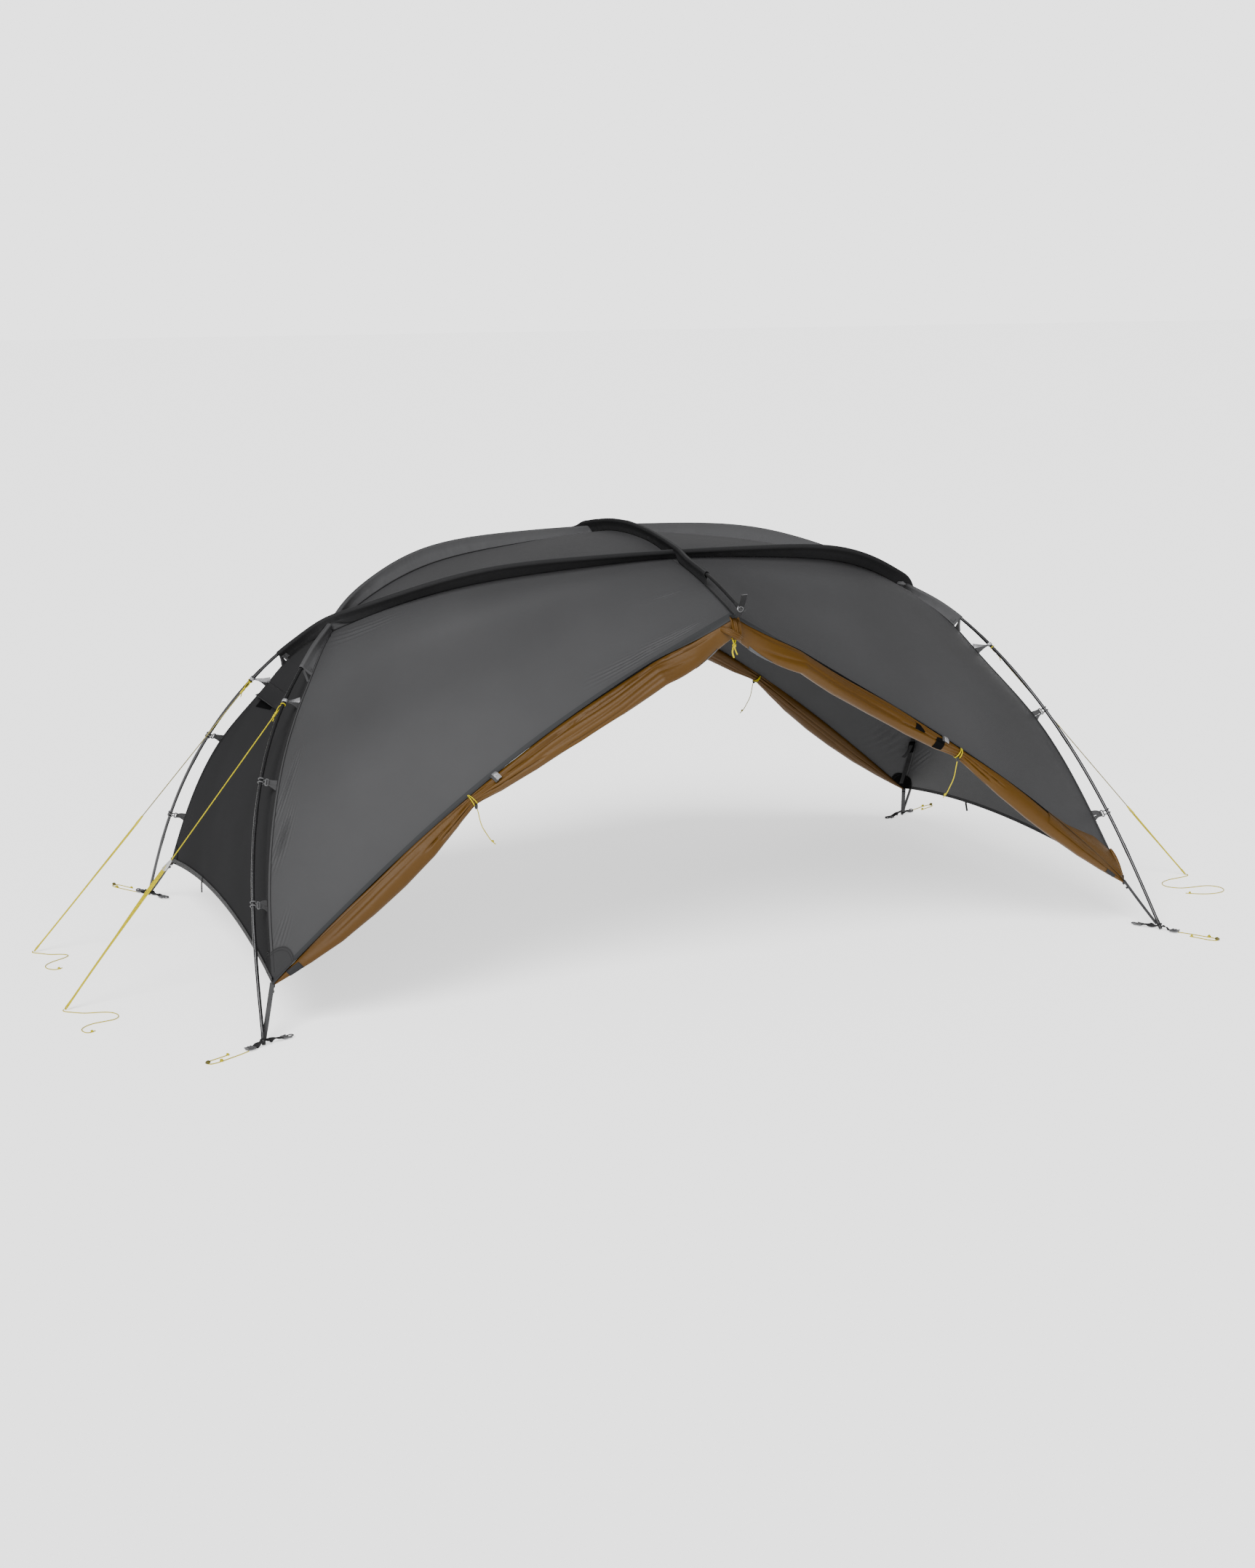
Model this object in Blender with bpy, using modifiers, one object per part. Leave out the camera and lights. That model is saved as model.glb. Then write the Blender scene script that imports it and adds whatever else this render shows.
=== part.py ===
# Two-person pole tent: grey outer tent on two long crossed poles and a short ridge pole.
# Metres, +Z up. The origin is on the ground under the middle, X runs along the tent and
# the doors are on the -Y (near) and +Y (far) sides. Front matches back and left matches
# right, so key points are given once, for the quarter with +X and +Y.
import math

import bmesh
import bpy
import numpy as np
from mathutils import Vector

# Fabric and tube sizes
SHELL = 0.0020            # canopy panels, thickened inwards
SEAM_SETBACK = 0.0018     # each panel stops this far from the seam line
TIP_SETBACK = 0.0045      # narrow panel tips stop this far from the crossing
POLE_R = 0.0045           # tent poles, 9 mm tube
SLEEVE_R = 0.0060         # inner radius of a pole sleeve
SLEEVE_T = 0.0010         # sleeve fabric, thickened outwards
FIN_GAP = 0.0007          # half of the space between the two sides of a sleeve's fin
FIN_CLEAR = 0.0016        # fin edge to the seam line
RIDGE_CLEAR = 0.0008      # the same on the flat ridge
CROSS_LIFT = 0.0083       # each long pole moves this far off the other where they cross
CROSS_REACH = 0.095       # over about this distance from the crossing
SHORT_FIN = 0.0080        # fin where a sleeve rides over another one

# Long pole, half of it: from a foot on the +Y side over the crossing (y = 0) to the middle
# of the arc on the -Y side. The canopy seam below it has the same number of stations.
LEG_POLE = [(1.250, 0.775, 0.0032), (1.212, 0.548, 0.291), (1.132, 0.333, 0.552),
            (1.029, 0.191, 0.727), (0.969, 0.132, 0.798)]
CROSS_POLE_POINT = (0.860, 0.0, 0.895)
ARC_POLE = [(0.700, -0.152, 0.979), (0.510, -0.262, 1.040), (0.250, -0.318, 1.063),
            (0.0, -0.330, 1.067)]
LEG_SEAM = [(1.198, 0.663, 0.118), (1.173, 0.535, 0.281), (1.092, 0.340, 0.539),
            (0.988, 0.180, 0.714), (0.947, 0.138, 0.774)]
CROSS_SEAM_POINT = (0.850, 0.0, 0.868)
ARC_SEAM = [(0.690, -0.128, 0.949), (0.502, -0.231, 1.004), (0.250, -0.292, 1.035),
            (0.0, -0.313, 1.048)]
SEAM_STEPS = [2, 2, 2, 2, 2, 2, 2, 2, 2]      # steps from station to station, foot to middle
SLEEVE_STATION = 4                            # the sleeve starts at this station
CROSS_STATION = 5

# Ridge pole over both long poles, in the plane x = 0, from the middle to the tip
RIDGE_POLE = [(0.0, 1.112), (0.090, 1.109), (0.180, 1.102), (0.250, 1.0938), (0.295, 1.0880),
              (0.330, 1.0826), (0.368, 1.0765), (0.410, 1.064), (0.480, 1.049), (0.558, 1.034)]
RIDGE_TIP = (0.773, 0.972)
RIDGE_SEAM = [(0.0, 1.083), (0.090, 1.081), (0.180, 1.074), (0.250, 1.063), (0.313, 1.048),
              (0.360, 1.041), (0.410, 1.034), (0.480, 1.020), (0.558, 1.001), (0.620, 0.984),
              (0.680, 0.966), (0.728, 0.951)]
RIDGE_SHORT = [0.295, 0.330, 0.368]           # stations where the ridge fin is short

# Door edge from the corner to the apex, and the hem of the end walls
DOOR_EDGE = [(1.198, 0.663, 0.118), (0.900, 0.664, 0.372), (0.600, 0.648, 0.590),
             (0.300, 0.656, 0.774), (0.0, 0.728, 0.951)]
HEM_RISE = 0.048
HEM_DRAW = 0.010

# Rolled doors: distance along the door edge, half height, half thickness
ROLL_STATIONS = [(0.035, 0.012, 0.008), (0.07, 0.018, 0.012), (0.13, 0.026, 0.016),
                 (0.20, 0.030, 0.019), (0.27, 0.031, 0.020), (0.34, 0.029, 0.018),
                 (0.400, 0.022, 0.014), (0.435, 0.015, 0.012), (0.450, 0.013, 0.0115),
                 (0.465, 0.015, 0.012), (0.50, 0.023, 0.015), (0.57, 0.031, 0.018),
                 (0.66, 0.037, 0.020), (0.75, 0.040, 0.021), (0.84, 0.039, 0.021),
                 (0.92, 0.035, 0.020), (0.965, 0.031, 0.018), (0.9975, 0.028, 0.014)]
TIE_AT = 0.450
TIE_BAND = 0.0022
TIE_LENGTH = 0.010
ROLL_GAP = 0.0006
MITRE_GAP = 0.0030        # more room under the canopy's edge where the two rolls meet

# Fittings
CLIP_T = 0.0010
CLIP_SHORT = 0.0006       # a clip's strap ends this far before the seam line
CLIP_SPECS = [("clip_top", 3, 0.012, 0.036), ("clip_middle", 2, 0.012, 0.030),
              ("clip_low", 1, 0.012, 0.030)]      # name, station, width on pole, at seam
STRAP_W = 0.013
STRAP_T = 0.0016
TAB_W = 0.016
TAB_T = 0.0030
TAB_HOLE = 0.0068
CORD_R = 0.0013
CORD_LIE = 0.0015          # height of a cord's middle where it lies on the ground
GUY_ANCHOR = (1.650, 0.288)
# Share of each guyline from the pole to the ground where its adjuster sits
ADJUSTER_AT = {"near_left": 0.53, "far_left": 0.51, "near_right": 0.705, "far_right": 0.62}

GREY = (0.075, 0.075, 0.078)
DARK = (0.018, 0.018, 0.019)
BROWN = (0.150, 0.068, 0.022)
YELLOW = (0.72, 0.56, 0.02)
METAL = (0.10, 0.10, 0.105)
SILVER = (0.55, 0.56, 0.57)

# The four legs: end of the tent, side of the tent, where the foot tab points
LEGS = {
    "near_left": (-1, -1, (-0.88, -0.47)),
    "far_left": (-1, 1, (-0.45, 0.89)),
    "near_right": (1, -1, (0.45, -0.89)),
    "far_right": (1, 1, (0.88, 0.47)),
}

# Loose guyline tails on the ground, from the anchor, in metres
TAILS = {
    "near_left": [(0, 0), (0.012, -0.030), (0.045, -0.052), (0.095, -0.066), (0.115, -0.090),
                  (0.108, -0.128), (0.078, -0.140), (0.046, -0.148), (0.022, -0.168),
                  (0.014, -0.196), (0.026, -0.216), (0.044, -0.206)],
    "far_left": [(0, 0), (0.012, -0.028), (0.036, -0.050), (0.066, -0.062), (0.080, -0.078),
                 (0.066, -0.100), (0.036, -0.122), (0.012, -0.150), (0.010, -0.184),
                 (0.030, -0.204), (0.048, -0.194)],
    "near_right": [(0, 0), (-0.036, -0.026), (-0.084, -0.036), (-0.118, -0.058),
                   (-0.130, -0.096), (-0.104, -0.130), (-0.050, -0.136), (-0.008, -0.146),
                   (0.006, -0.176), (-0.012, -0.212), (-0.054, -0.222), (-0.096, -0.206),
                   (-0.122, -0.186)],
    "far_right": [(0, 0), (-0.014, 0.030), (-0.046, 0.052), (-0.092, 0.064), (-0.114, 0.088),
                  (-0.104, 0.122), (-0.072, 0.136), (-0.038, 0.150), (-0.018, 0.178)],
}


def material(name, colour, roughness, metallic=0.0):
    mat = bpy.data.materials.new(name)
    mat.use_nodes = True
    shader = mat.node_tree.nodes["Principled BSDF"]
    shader.inputs["Base Color"].default_value = (*colour, 1.0)
    shader.inputs["Roughness"].default_value = roughness
    shader.inputs["Metallic"].default_value = metallic
    return mat


def smooth_route(keys, steps):
    # Natural cubic spline through the keys; steps[i] points are added on span i.
    keys = np.array(keys, float)
    spans = np.linalg.norm(np.diff(keys, axis=0), axis=1)
    count = len(keys)
    system = np.eye(count)
    known = np.zeros_like(keys)
    for i in range(1, count - 1):
        before, after = spans[i - 1], spans[i]
        system[i, i - 1:i + 2] = before, 2.0 * (before + after), after
        known[i] = 6.0 * ((keys[i + 1] - keys[i]) / after - (keys[i] - keys[i - 1]) / before)
    bend = np.linalg.solve(system, known)
    route = []
    for i, span in enumerate(spans):
        for k in range(steps[i]):
            t = span * k / steps[i]
            r = span - t
            route.append(bend[i] * (r ** 3 / (6 * span)) + bend[i + 1] * (t ** 3 / (6 * span))
                         + (keys[i] / span - bend[i] * span / 6) * r
                         + (keys[i + 1] / span - bend[i + 1] * span / 6) * t)
    route.append(keys[-1])
    return np.array(route)


def even_route(keys, count):
    # The same smooth curve, cut into count points at equal distances.
    fine = smooth_route(keys, [12] * (len(keys) - 1))
    run = np.r_[0.0, np.cumsum(np.linalg.norm(np.diff(fine, axis=0), axis=1))]
    wanted = np.linspace(0.0, run[-1], count)
    return np.column_stack([np.interp(wanted, run, fine[:, axis]) for axis in range(3)])


def unit(vector):
    vector = np.array(vector, float)
    return vector / np.linalg.norm(vector)


def place(point, end, side):
    return np.array(point, float) * (end, side, 1.0)


def tangents(points):
    # The way along a line at each point: halfway between the spans before and after it.
    spans = [unit(step) for step in np.diff(np.array(points), axis=0)]
    return np.array([unit(a + b) for a, b in zip(spans[:1] + spans, spans + spans[-1:])])


def full_line(leg, middle, arc):
    # Foot to foot: a right half in the order foot, crossing, middle, then its mirror image.
    half = [np.array(point, float) for point in leg + [middle] + arc]
    return half + [point * (-1, 1, 1) for point in half[-2::-1]]


def half_samples(leg, middle, arc):
    # Samples of the right half from foot to middle, of the curve through the whole line.
    whole = smooth_route(full_line(leg, middle, arc), SEAM_STEPS + SEAM_STEPS[::-1])
    return whole[:sum(SEAM_STEPS) + 1]


POLE_HALF = half_samples(LEG_POLE, CROSS_POLE_POINT, ARC_POLE)
SEAM_HALF = half_samples(LEG_SEAM, CROSS_SEAM_POINT, ARC_SEAM)
CROSS_SAMPLE = sum(SEAM_STEPS[:CROSS_STATION])
SLEEVE_SAMPLE = sum(SEAM_STEPS[:SLEEVE_STATION])


def outward_at_crossing():
    # Both long poles lie in one plane at the crossing; this is its outer normal.
    run = POLE_HALF[CROSS_SAMPLE + 1] - POLE_HALF[CROSS_SAMPLE - 1]
    normal = unit((run[2], 0.0, -run[0]))
    return normal if normal[2] > 0 else -normal


def link(name, data, mat):
    obj = bpy.data.objects.new(name, data)
    data.materials.append(mat)
    tent.objects.link(obj)
    return obj


def mesh_object(name, points, faces, mat, smooth=True):
    mesh = bpy.data.meshes.new(name)
    mesh.from_pydata([tuple(point) for point in points], [], faces)
    mesh.update()
    obj = link(name, mesh, mat)
    if smooth:
        mesh.shade_smooth()
    return obj


def sheet_object(name, rows, thickness, mat, outward):
    # Open surface from rows of points, thickened to the back of the outward side.
    points, faces = [], []
    width = len(rows[0])
    for row in rows:
        points.extend(row)
    for i in range(len(rows) - 1):
        for j in range(width - 1):
            faces.append([i * width + j, i * width + j + 1, (i + 1) * width + j + 1,
                          (i + 1) * width + j])
    obj = mesh_object(name, points, faces, mat)
    bm = bmesh.new()
    bm.from_mesh(obj.data)
    bmesh.ops.remove_doubles(bm, verts=bm.verts, dist=0.00002)
    bmesh.ops.recalc_face_normals(bm, faces=bm.faces)
    total = Vector((0.0, 0.0, 0.0))
    for face in bm.faces:
        total += face.normal * face.calc_area()
    if total.dot(Vector(outward)) < 0:
        bmesh.ops.reverse_faces(bm, faces=bm.faces)
    bm.to_mesh(obj.data)
    bm.free()
    solid = obj.modifiers.new("Thickness", "SOLIDIFY")
    solid.thickness = thickness
    solid.offset = -1.0
    return obj


def loft(name, rings, mat, smooth=True):
    # Closed body from rings of equal point count, with flat ends.
    bm = bmesh.new()
    loops = [[bm.verts.new(Vector(point)) for point in ring] for ring in rings]
    for one, two in zip(loops, loops[1:]):
        for j in range(len(one)):
            k = (j + 1) % len(one)
            bm.faces.new((one[j], one[k], two[k], two[j]))
    bm.faces.new(loops[0][::-1])
    bm.faces.new(loops[-1])
    bmesh.ops.recalc_face_normals(bm, faces=bm.faces)
    mesh = bpy.data.meshes.new(name)
    bm.to_mesh(mesh)
    bm.free()
    if smooth:
        mesh.shade_smooth()
    return link(name, mesh, mat)


def tube(name, points, radius, mat):
    curve = bpy.data.curves.new(name, "CURVE")
    curve.dimensions = "3D"
    curve.bevel_depth = radius
    curve.bevel_resolution = 2
    curve.use_fill_caps = True
    spline = curve.splines.new("POLY")
    spline.points.add(len(points) - 1)
    for spot, point in zip(spline.points, points):
        spot.co = (*point, 1.0)
    return link(name, curve, mat)


def as_mesh(obj):
    # A curve made into a mesh with its caps welded, so that it can be joined to others.
    bpy.context.view_layer.update()
    evaluated = obj.evaluated_get(bpy.context.evaluated_depsgraph_get())
    mesh = bpy.data.meshes.new_from_object(evaluated)
    bm = bmesh.new()
    bm.from_mesh(mesh)
    bmesh.ops.remove_doubles(bm, verts=bm.verts, dist=0.00005)
    bmesh.ops.recalc_face_normals(bm, faces=bm.faces)
    bm.to_mesh(mesh)
    bm.free()
    name = obj.name
    solid = bpy.data.objects.new(name + "_solid", mesh)
    solid.matrix_world = obj.matrix_world.copy()
    bpy.data.objects.remove(obj)
    solid.name = name
    tent.objects.link(solid)
    return solid


def join(obj, others):
    # Union of one object with helper bodies, which stay hidden.
    for other in others:
        for holder in other.users_collection:
            holder.objects.unlink(other)
        helpers.objects.link(other)
        other.hide_render = True
        other.display_type = "WIRE"
        union = obj.modifiers.new(other.name, "BOOLEAN")
        union.operation = "UNION"
        union.object = other
    return obj


def box_between(name, start, end, width_way, width, height, mat):
    # Bar from start to end with a width across it and a height at right angles to both.
    start, end = np.array(start, float), np.array(end, float)
    along = unit(end - start)
    across = unit(np.array(width_way) - along * np.dot(width_way, along))
    up = np.cross(along, across)
    rings = [[spot + across * (a * width / 2) + up * (b * height / 2)
              for a, b in ((-1, -1), (1, -1), (1, 1), (-1, 1))] for spot in (start, end)]
    return loft(name, rings, mat, smooth=False)


def long_pole_line(side):
    # Pole with its arc on the given side; the near one rides over the other at both crossings.
    lift = outward_at_crossing() * (CROSS_LIFT if side < 0 else -CROSS_LIFT)
    half = POLE_HALF.copy()
    for i, point in enumerate(half):
        reach = np.linalg.norm(point - CROSS_POLE_POINT) / CROSS_REACH
        half[i] = point + lift * math.exp(-reach * reach)
    half = half * (1, -side, 1)
    return np.vstack([half, half[-2::-1] * (-1, 1, 1)])


def long_seam_line(side):
    half = SEAM_HALF * (1, -side, 1)
    return np.vstack([half, half[-2::-1] * (-1, 1, 1)])


def long_poles():
    for side, name in ((-1, "long_pole_over"), (1, "long_pole_under")):
        tube(name, long_pole_line(side), POLE_R, paint["pole"])


def ridge_half(points):
    return [np.array((0.0, y, z)) for y, z in points]


def mirrored_ridge(half):
    return np.array([point * (1, -1, 1) for point in half[:0:-1]] + list(half))


def ridge_pole():
    keys = ridge_half(RIDGE_POLE) + [np.array((0.0, *RIDGE_TIP))]
    tube("ridge_pole", mirrored_ridge(keys), POLE_R, paint["pole"])


def sleeve(name, line, ways, fins):
    # Fabric folded over a pole: round the tube, then two sides that meet as a fin below it.
    columns = []
    for point, way, fin in zip(line, ways, fins):
        down = fin - way * np.dot(fin, way)
        depth = np.linalg.norm(down)
        down = down / depth
        across = np.cross(way, down)
        knee = min(0.013, depth - 0.001)
        r = SLEEVE_R
        bow = 0.70711 * r
        outline = [(-FIN_GAP, depth), (-FIN_GAP, knee), (-r, 0.002), (-bow, -bow), (0.0, -r),
                   (bow, -bow), (r, 0.002), (FIN_GAP, knee), (FIN_GAP, depth)]
        columns.append([point + across * a + down * b for a, b in outline])
    obj = sheet_object(name, columns, SLEEVE_T, paint["sleeve"], (0, 0, 1))
    obj.modifiers["Thickness"].offset = 1.0
    return obj


def long_sleeves():
    inward = -outward_at_crossing()
    last = len(POLE_HALF) * 2 - 2
    for side, name in ((-1, "sleeve_near"), (1, "sleeve_far")):
        line = long_pole_line(side)
        seam = long_seam_line(side)
        fins = []
        for i in range(len(line)):
            fin = seam[i] - line[i]
            fins.append(fin * (1.0 - FIN_CLEAR / np.linalg.norm(fin)))
        if side < 0:
            fins[CROSS_SAMPLE] = inward * SHORT_FIN
            fins[last - CROSS_SAMPLE] = inward * (-SHORT_FIN, 0.0, SHORT_FIN)
        keep = slice(SLEEVE_SAMPLE, last - SLEEVE_SAMPLE + 1)
        sleeve(name, line[keep], tangents(line)[keep], fins[keep])


def ridge_sleeve():
    pole = mirrored_ridge(ridge_half(RIDGE_POLE))
    heights = dict(RIDGE_SEAM)
    depths = []
    for point in pole:
        y = round(abs(point[1]), 4)
        deep = SHORT_FIN if y in RIDGE_SHORT else point[2] - heights[y] - RIDGE_CLEAR
        depths.append(np.array((0.0, 0.0, -deep)))
    sleeve("sleeve_ridge", pole, tangents(pole), depths)


def set_back(rows, sides):
    # Pulls the named edges of a grid towards its middle along the grid lines.
    grid = np.array(rows)
    flip = {"first": (0, 1, 0), "last": (-1, -2, 0), "left": (0, 1, 1), "right": (-1, -2, 1)}
    for name, distance in sides.items():
        edge, inner, axis = flip[name]
        view = grid if axis == 0 else grid.transpose(1, 0, 2)
        way = view[inner] - view[edge]
        size = np.linalg.norm(way, axis=1, keepdims=True)
        view[edge] = view[edge] + way / np.maximum(size, 1e-6) * distance
    return grid


def door_edge():
    return smooth_route(DOOR_EDGE, [2] * 4)


def wall_grid():
    # One quarter wall, u from the leg seam to the ridge seam, v from the arc to the door.
    outer = SEAM_HALF[CROSS_SAMPLE::-1]
    arc = SEAM_HALF[CROSS_SAMPLE:] * (1, -1, 1)
    ridge = ridge_half([spot for spot in RIDGE_SEAM if spot[0] >= 0.313])
    inner = even_to(ridge, len(outer))
    lower = door_edge()
    rows = []
    down = (share(outer) + share(inner)) / 2
    for j, v in enumerate(down):
        row = []
        for i, u in enumerate((share(arc) + share(lower)) / 2):
            edges = (1 - v) * arc[i] + v * lower[i] + (1 - u) * outer[j] + u * inner[j]
            corners = ((1 - u) * (1 - v) * arc[0] + u * (1 - v) * arc[-1]
                       + (1 - u) * v * lower[0] + u * v * lower[-1])
            row.append(edges - corners)
        rows.append(row)
    return np.array(rows)


def even_to(points, count):
    # Keeps the given points and adds more between them, the longest spans first.
    points = [np.array(point) for point in points]
    while len(points) < count:
        spans = [np.linalg.norm(b - a) for a, b in zip(points, points[1:])]
        k = int(np.argmax(spans))
        points.insert(k + 1, (points[k] + points[k + 1]) / 2)
    return np.array(points)


def share(points):
    run = np.r_[0.0, np.cumsum(np.linalg.norm(np.diff(np.array(points), axis=0), axis=1))]
    return run / run[-1]


def roof_grid():
    # Right half of the roof, one row across for each arc sample from the crossing to x = 0.
    arc = SEAM_HALF[CROSS_SAMPLE:]
    ridge = mirrored_ridge(ridge_half([spot for spot in RIDGE_SEAM if spot[0] <= 0.313]))
    rows = []
    for point in arc:
        part = abs(point[1]) / abs(arc[-1][1])
        crown = (1.0 - point[0] / arc[0][0]) ** 1.3 if point[0] < arc[0][0] else 0.0
        row = []
        for spot in ridge:
            lift = (spot[2] - ridge[0][2]) * crown
            row.append((point[0], spot[1] * part, point[2] + lift))
        rows.append(row)
    return np.array(rows)


def end_grid():
    # Right end wall, one row across for each leg sample from the crossing to the hem.
    leg = SEAM_HALF[CROSS_SAMPLE::-1]
    rows = []
    for j, point in enumerate(leg):
        weight = (j / (len(leg) - 1)) ** 3
        row = []
        for s in np.linspace(-1.0, 1.0, 11):
            bow = (1.0 - s * s) * weight
            row.append((point[0] - HEM_DRAW * bow, point[1] * s, point[2] + HEM_RISE * bow))
        rows.append(row)
    return np.array(rows)


def canopy():
    wall = wall_grid()
    for label, (end, side, heading) in LEGS.items():
        grid = set_back(wall, {"first": SEAM_SETBACK, "left": SEAM_SETBACK,
                               "right": SEAM_SETBACK})
        sheet_object("wall_" + label, grid * (end, side, 1), SHELL, paint["canopy"],
                     (0.1 * end, side, 0.6))
    for end, label in ((-1, "left"), (1, "right")):
        roof = set_back(roof_grid(), {"left": SEAM_SETBACK, "right": SEAM_SETBACK,
                                      "last": SEAM_SETBACK, "first": TIP_SETBACK})
        sheet_object("roof_" + label, roof * (end, 1, 1), SHELL, paint["canopy"], (0, 0, 1))
        wall_end = set_back(end_grid(), {"left": SEAM_SETBACK, "right": SEAM_SETBACK,
                                         "first": TIP_SETBACK})
        sheet_object("end_wall_" + label, wall_end * (end, 1, 1), SHELL, paint["canopy"],
                     (end, 0, 0.3))


def roll_frames():
    # Along the door edge: a point, the way along it, into the doorway, and into the tent.
    wall = wall_grid()
    edge = wall[-1]
    above = wall[-2]
    run = share(edge)
    frames = []
    for at, half, thick in ROLL_STATIONS:
        point = np.array([np.interp(at, run, edge[:, k]) for k in range(3)])
        fabric = np.array([np.interp(at, run, above[:, k]) for k in range(3)]) - point
        nearby = np.array([np.interp(min(at + 0.03, 1.0), run, edge[:, k]) for k in range(3)])
        before = np.array([np.interp(at - 0.03, run, edge[:, k]) for k in range(3)])
        along = unit(nearby - before)
        opening = -unit(fabric - along * np.dot(fabric, along))
        mitre = np.clip((at - 0.85) / 0.12, 0.0, 1.0)
        opening = unit(opening * (1.0 - mitre) + np.array((0.0, 0.0, -1.0)) * mitre)
        inside = unit(np.cross(along, opening))
        if inside[1] > 0:
            inside = -inside
        inside = unit(inside * (1.0 - mitre) + np.array((0.0, -1.0, 0.0)) * mitre)
        point = point + opening * MITRE_GAP * np.clip((at - 0.74) / 0.10, 0.0, 1.0)
        frames.append((point, along, opening, inside, half, thick))
    return frames


def roll_ring(frame, count=10, grow=0.0):
    point, along, opening, inside, half, thick = frame
    middle = point + opening * (half + ROLL_GAP) + inside * (SHELL / 2)
    ring = []
    for k in range(count):
        turn = 2.0 * math.pi * k / count
        ring.append(middle - opening * (half + grow) * math.cos(turn)
                    + inside * (thick + grow) * math.sin(turn))
    return ring


def door_rolls():
    frames = roll_frames()
    for label, (end, side, heading) in LEGS.items():
        rings = [[place(point, end, side) for point in roll_ring(frame)] for frame in frames]
        loft("door_roll_" + label, rings, paint["door"])


def tie_frame():
    return [frame for frame, spec in zip(roll_frames(), ROLL_STATIONS) if spec[0] == TIE_AT][0]


def door_ties():
    # Band round the pinched roll with a cord lock under it.
    point, along, opening, inside, half, thick = tie_frame()
    for label, (end, side, heading) in LEGS.items():
        rows = []
        for shift in (-TIE_LENGTH / 2, TIE_LENGTH / 2):
            ring = roll_ring((point, along, opening, inside, half, thick), 10, 0.0016)[1:]
            rows.append([place(spot + along * shift, end, side) for spot in ring])
        band = sheet_object("door_tie_" + label, rows, TIE_BAND, paint["cord"], (0, 0, 1))
        middle = place(point + opening * (half + ROLL_GAP), end, side)
        outward_band(band, middle)


def outward_band(obj, middle):
    # A band's normals point away from what it wraps, and its thickness goes that way.
    bm = bmesh.new()
    bm.from_mesh(obj.data)
    face = max(bm.faces, key=lambda one: one.calc_area())
    if face.normal.dot(face.calc_center_median() - Vector(middle)) < 0:
        bmesh.ops.reverse_faces(bm, faces=bm.faces)
    bm.to_mesh(obj.data)
    bm.free()
    obj.modifiers["Thickness"].offset = 1.0


def tie_cords():
    # A thin cord hangs from each tie.
    point, along, opening, inside, half, thick = tie_frame()
    low = point + opening * (2 * half + ROLL_GAP + 0.0016 + TIE_BAND) + inside * (SHELL / 2)
    for label, (end, side, heading) in LEGS.items():
        start = place(low, end, side) + (0.0, 0.0, -0.0020)
        shape = [(0, 0), (0.004, -0.016), (0.008, -0.036), (0.014, -0.056), (0.024, -0.074),
                 (0.034, -0.090), (0.046, -0.102)]
        keys = [start + (-end * away, side * 0.10 * away, fall) for away, fall in shape]
        tube("tie_cord_" + label, even_route(keys, 16), CORD_R, paint["cord"])


def apex_cords():
    # Yellow pull cord hanging from the gathered cloth at the top of each door.
    for side, label in ((-1, "near"), (1, "far")):
        top = np.array((0.0, side * 0.727, 0.908))
        shape = [(0, 0), (0.0, -0.016), (0.002, -0.032), (-0.002, -0.050), (0.002, -0.066)]
        keys = [top + (away, 0.0, fall) for away, fall in shape]
        tube("apex_cord_" + label, even_route(keys, 12), 0.0022, paint["cord"])


def apex_tabs():
    # Webbing from the top of each door past the tip of the ridge pole, free end standing up.
    for side, label in ((-1, "near"), (1, "far")):
        shape = [(0.7290, 0.9502), (0.7450, 0.9480), (0.7620, 0.9505), (0.7708, 0.9595),
                 (0.7745, 0.9716), (0.7795, 0.9890), (0.7820, 1.0080)]
        rings = []
        ways = tangents([(0.0, y, z) for y, z in shape])
        for (y, z), way in zip(shape, ways):
            up = np.cross((1, 0, 0), way)
            rings.append([np.array((a * TAB_W / 2, y, z)) * (1, side, 1)
                          + up * (b * STRAP_T / 2) * (1, side, 1)
                          for a, b in ((-1, -1), (1, -1), (1, 1), (-1, 1))])
        loft("apex_tab_" + label, rings, paint["webbing"], smooth=False)


def clips():
    # Each clip is a strap folded round the pole with both ends sewn to the canopy seam.
    starts = [sum(SEAM_STEPS[:k]) for k in range(len(SEAM_STEPS) + 1)]
    for label, (end, side, heading) in LEGS.items():
        for name, station, narrow, wide in CLIP_SPECS:
            i = starts[station]
            pole, seam = POLE_HALF[i], SEAM_HALF[i]
            way = unit(POLE_HALF[i + 1] - POLE_HALF[i - 1])
            out = unit(seam - pole - way * np.dot(seam - pole, way))
            across = np.cross(way, out)
            r = POLE_R + 0.0014
            bow = 0.70711 * r
            rows = []
            for half in (-0.5, 0.0, 0.5):
                j = i if half > 0 else i - 1
                inner = pole + way * half * narrow
                outer = seam + unit(SEAM_HALF[j + 1] - SEAM_HALF[j]) * half * wide - inner
                far = np.linalg.norm(outer) - CLIP_SHORT
                toward = unit(outer)
                outline = [(far, 0.0006), (0.016, 0.0006), (0.003, r), (0.0, r), (-bow, bow),
                           (-r, 0.0), (-bow, -bow), (0.0, -r), (0.003, -r), (0.016, -0.0006),
                           (far, -0.0006)]
                rows.append([place(inner + toward * a + across * b, end, side)
                             for a, b in outline])
            obj = sheet_object(name + "_" + label, rows, CLIP_T, paint["clip"], (0, 0, 1))
            outward_clip(obj, place(pole, end, side), place(out, end, side))


def outward_clip(obj, pole, out):
    # The face on the far side of the pole has to look away from the canopy.
    bm = bmesh.new()
    bm.from_mesh(obj.data)
    face = min(bm.faces, key=lambda one: (one.calc_center_median() - Vector(pole)).dot(out))
    if face.normal.dot(Vector(out)) > 0:
        bmesh.ops.reverse_faces(bm, faces=bm.faces)
    bm.to_mesh(obj.data)
    bm.free()
    obj.modifiers["Thickness"].offset = 1.0


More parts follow.
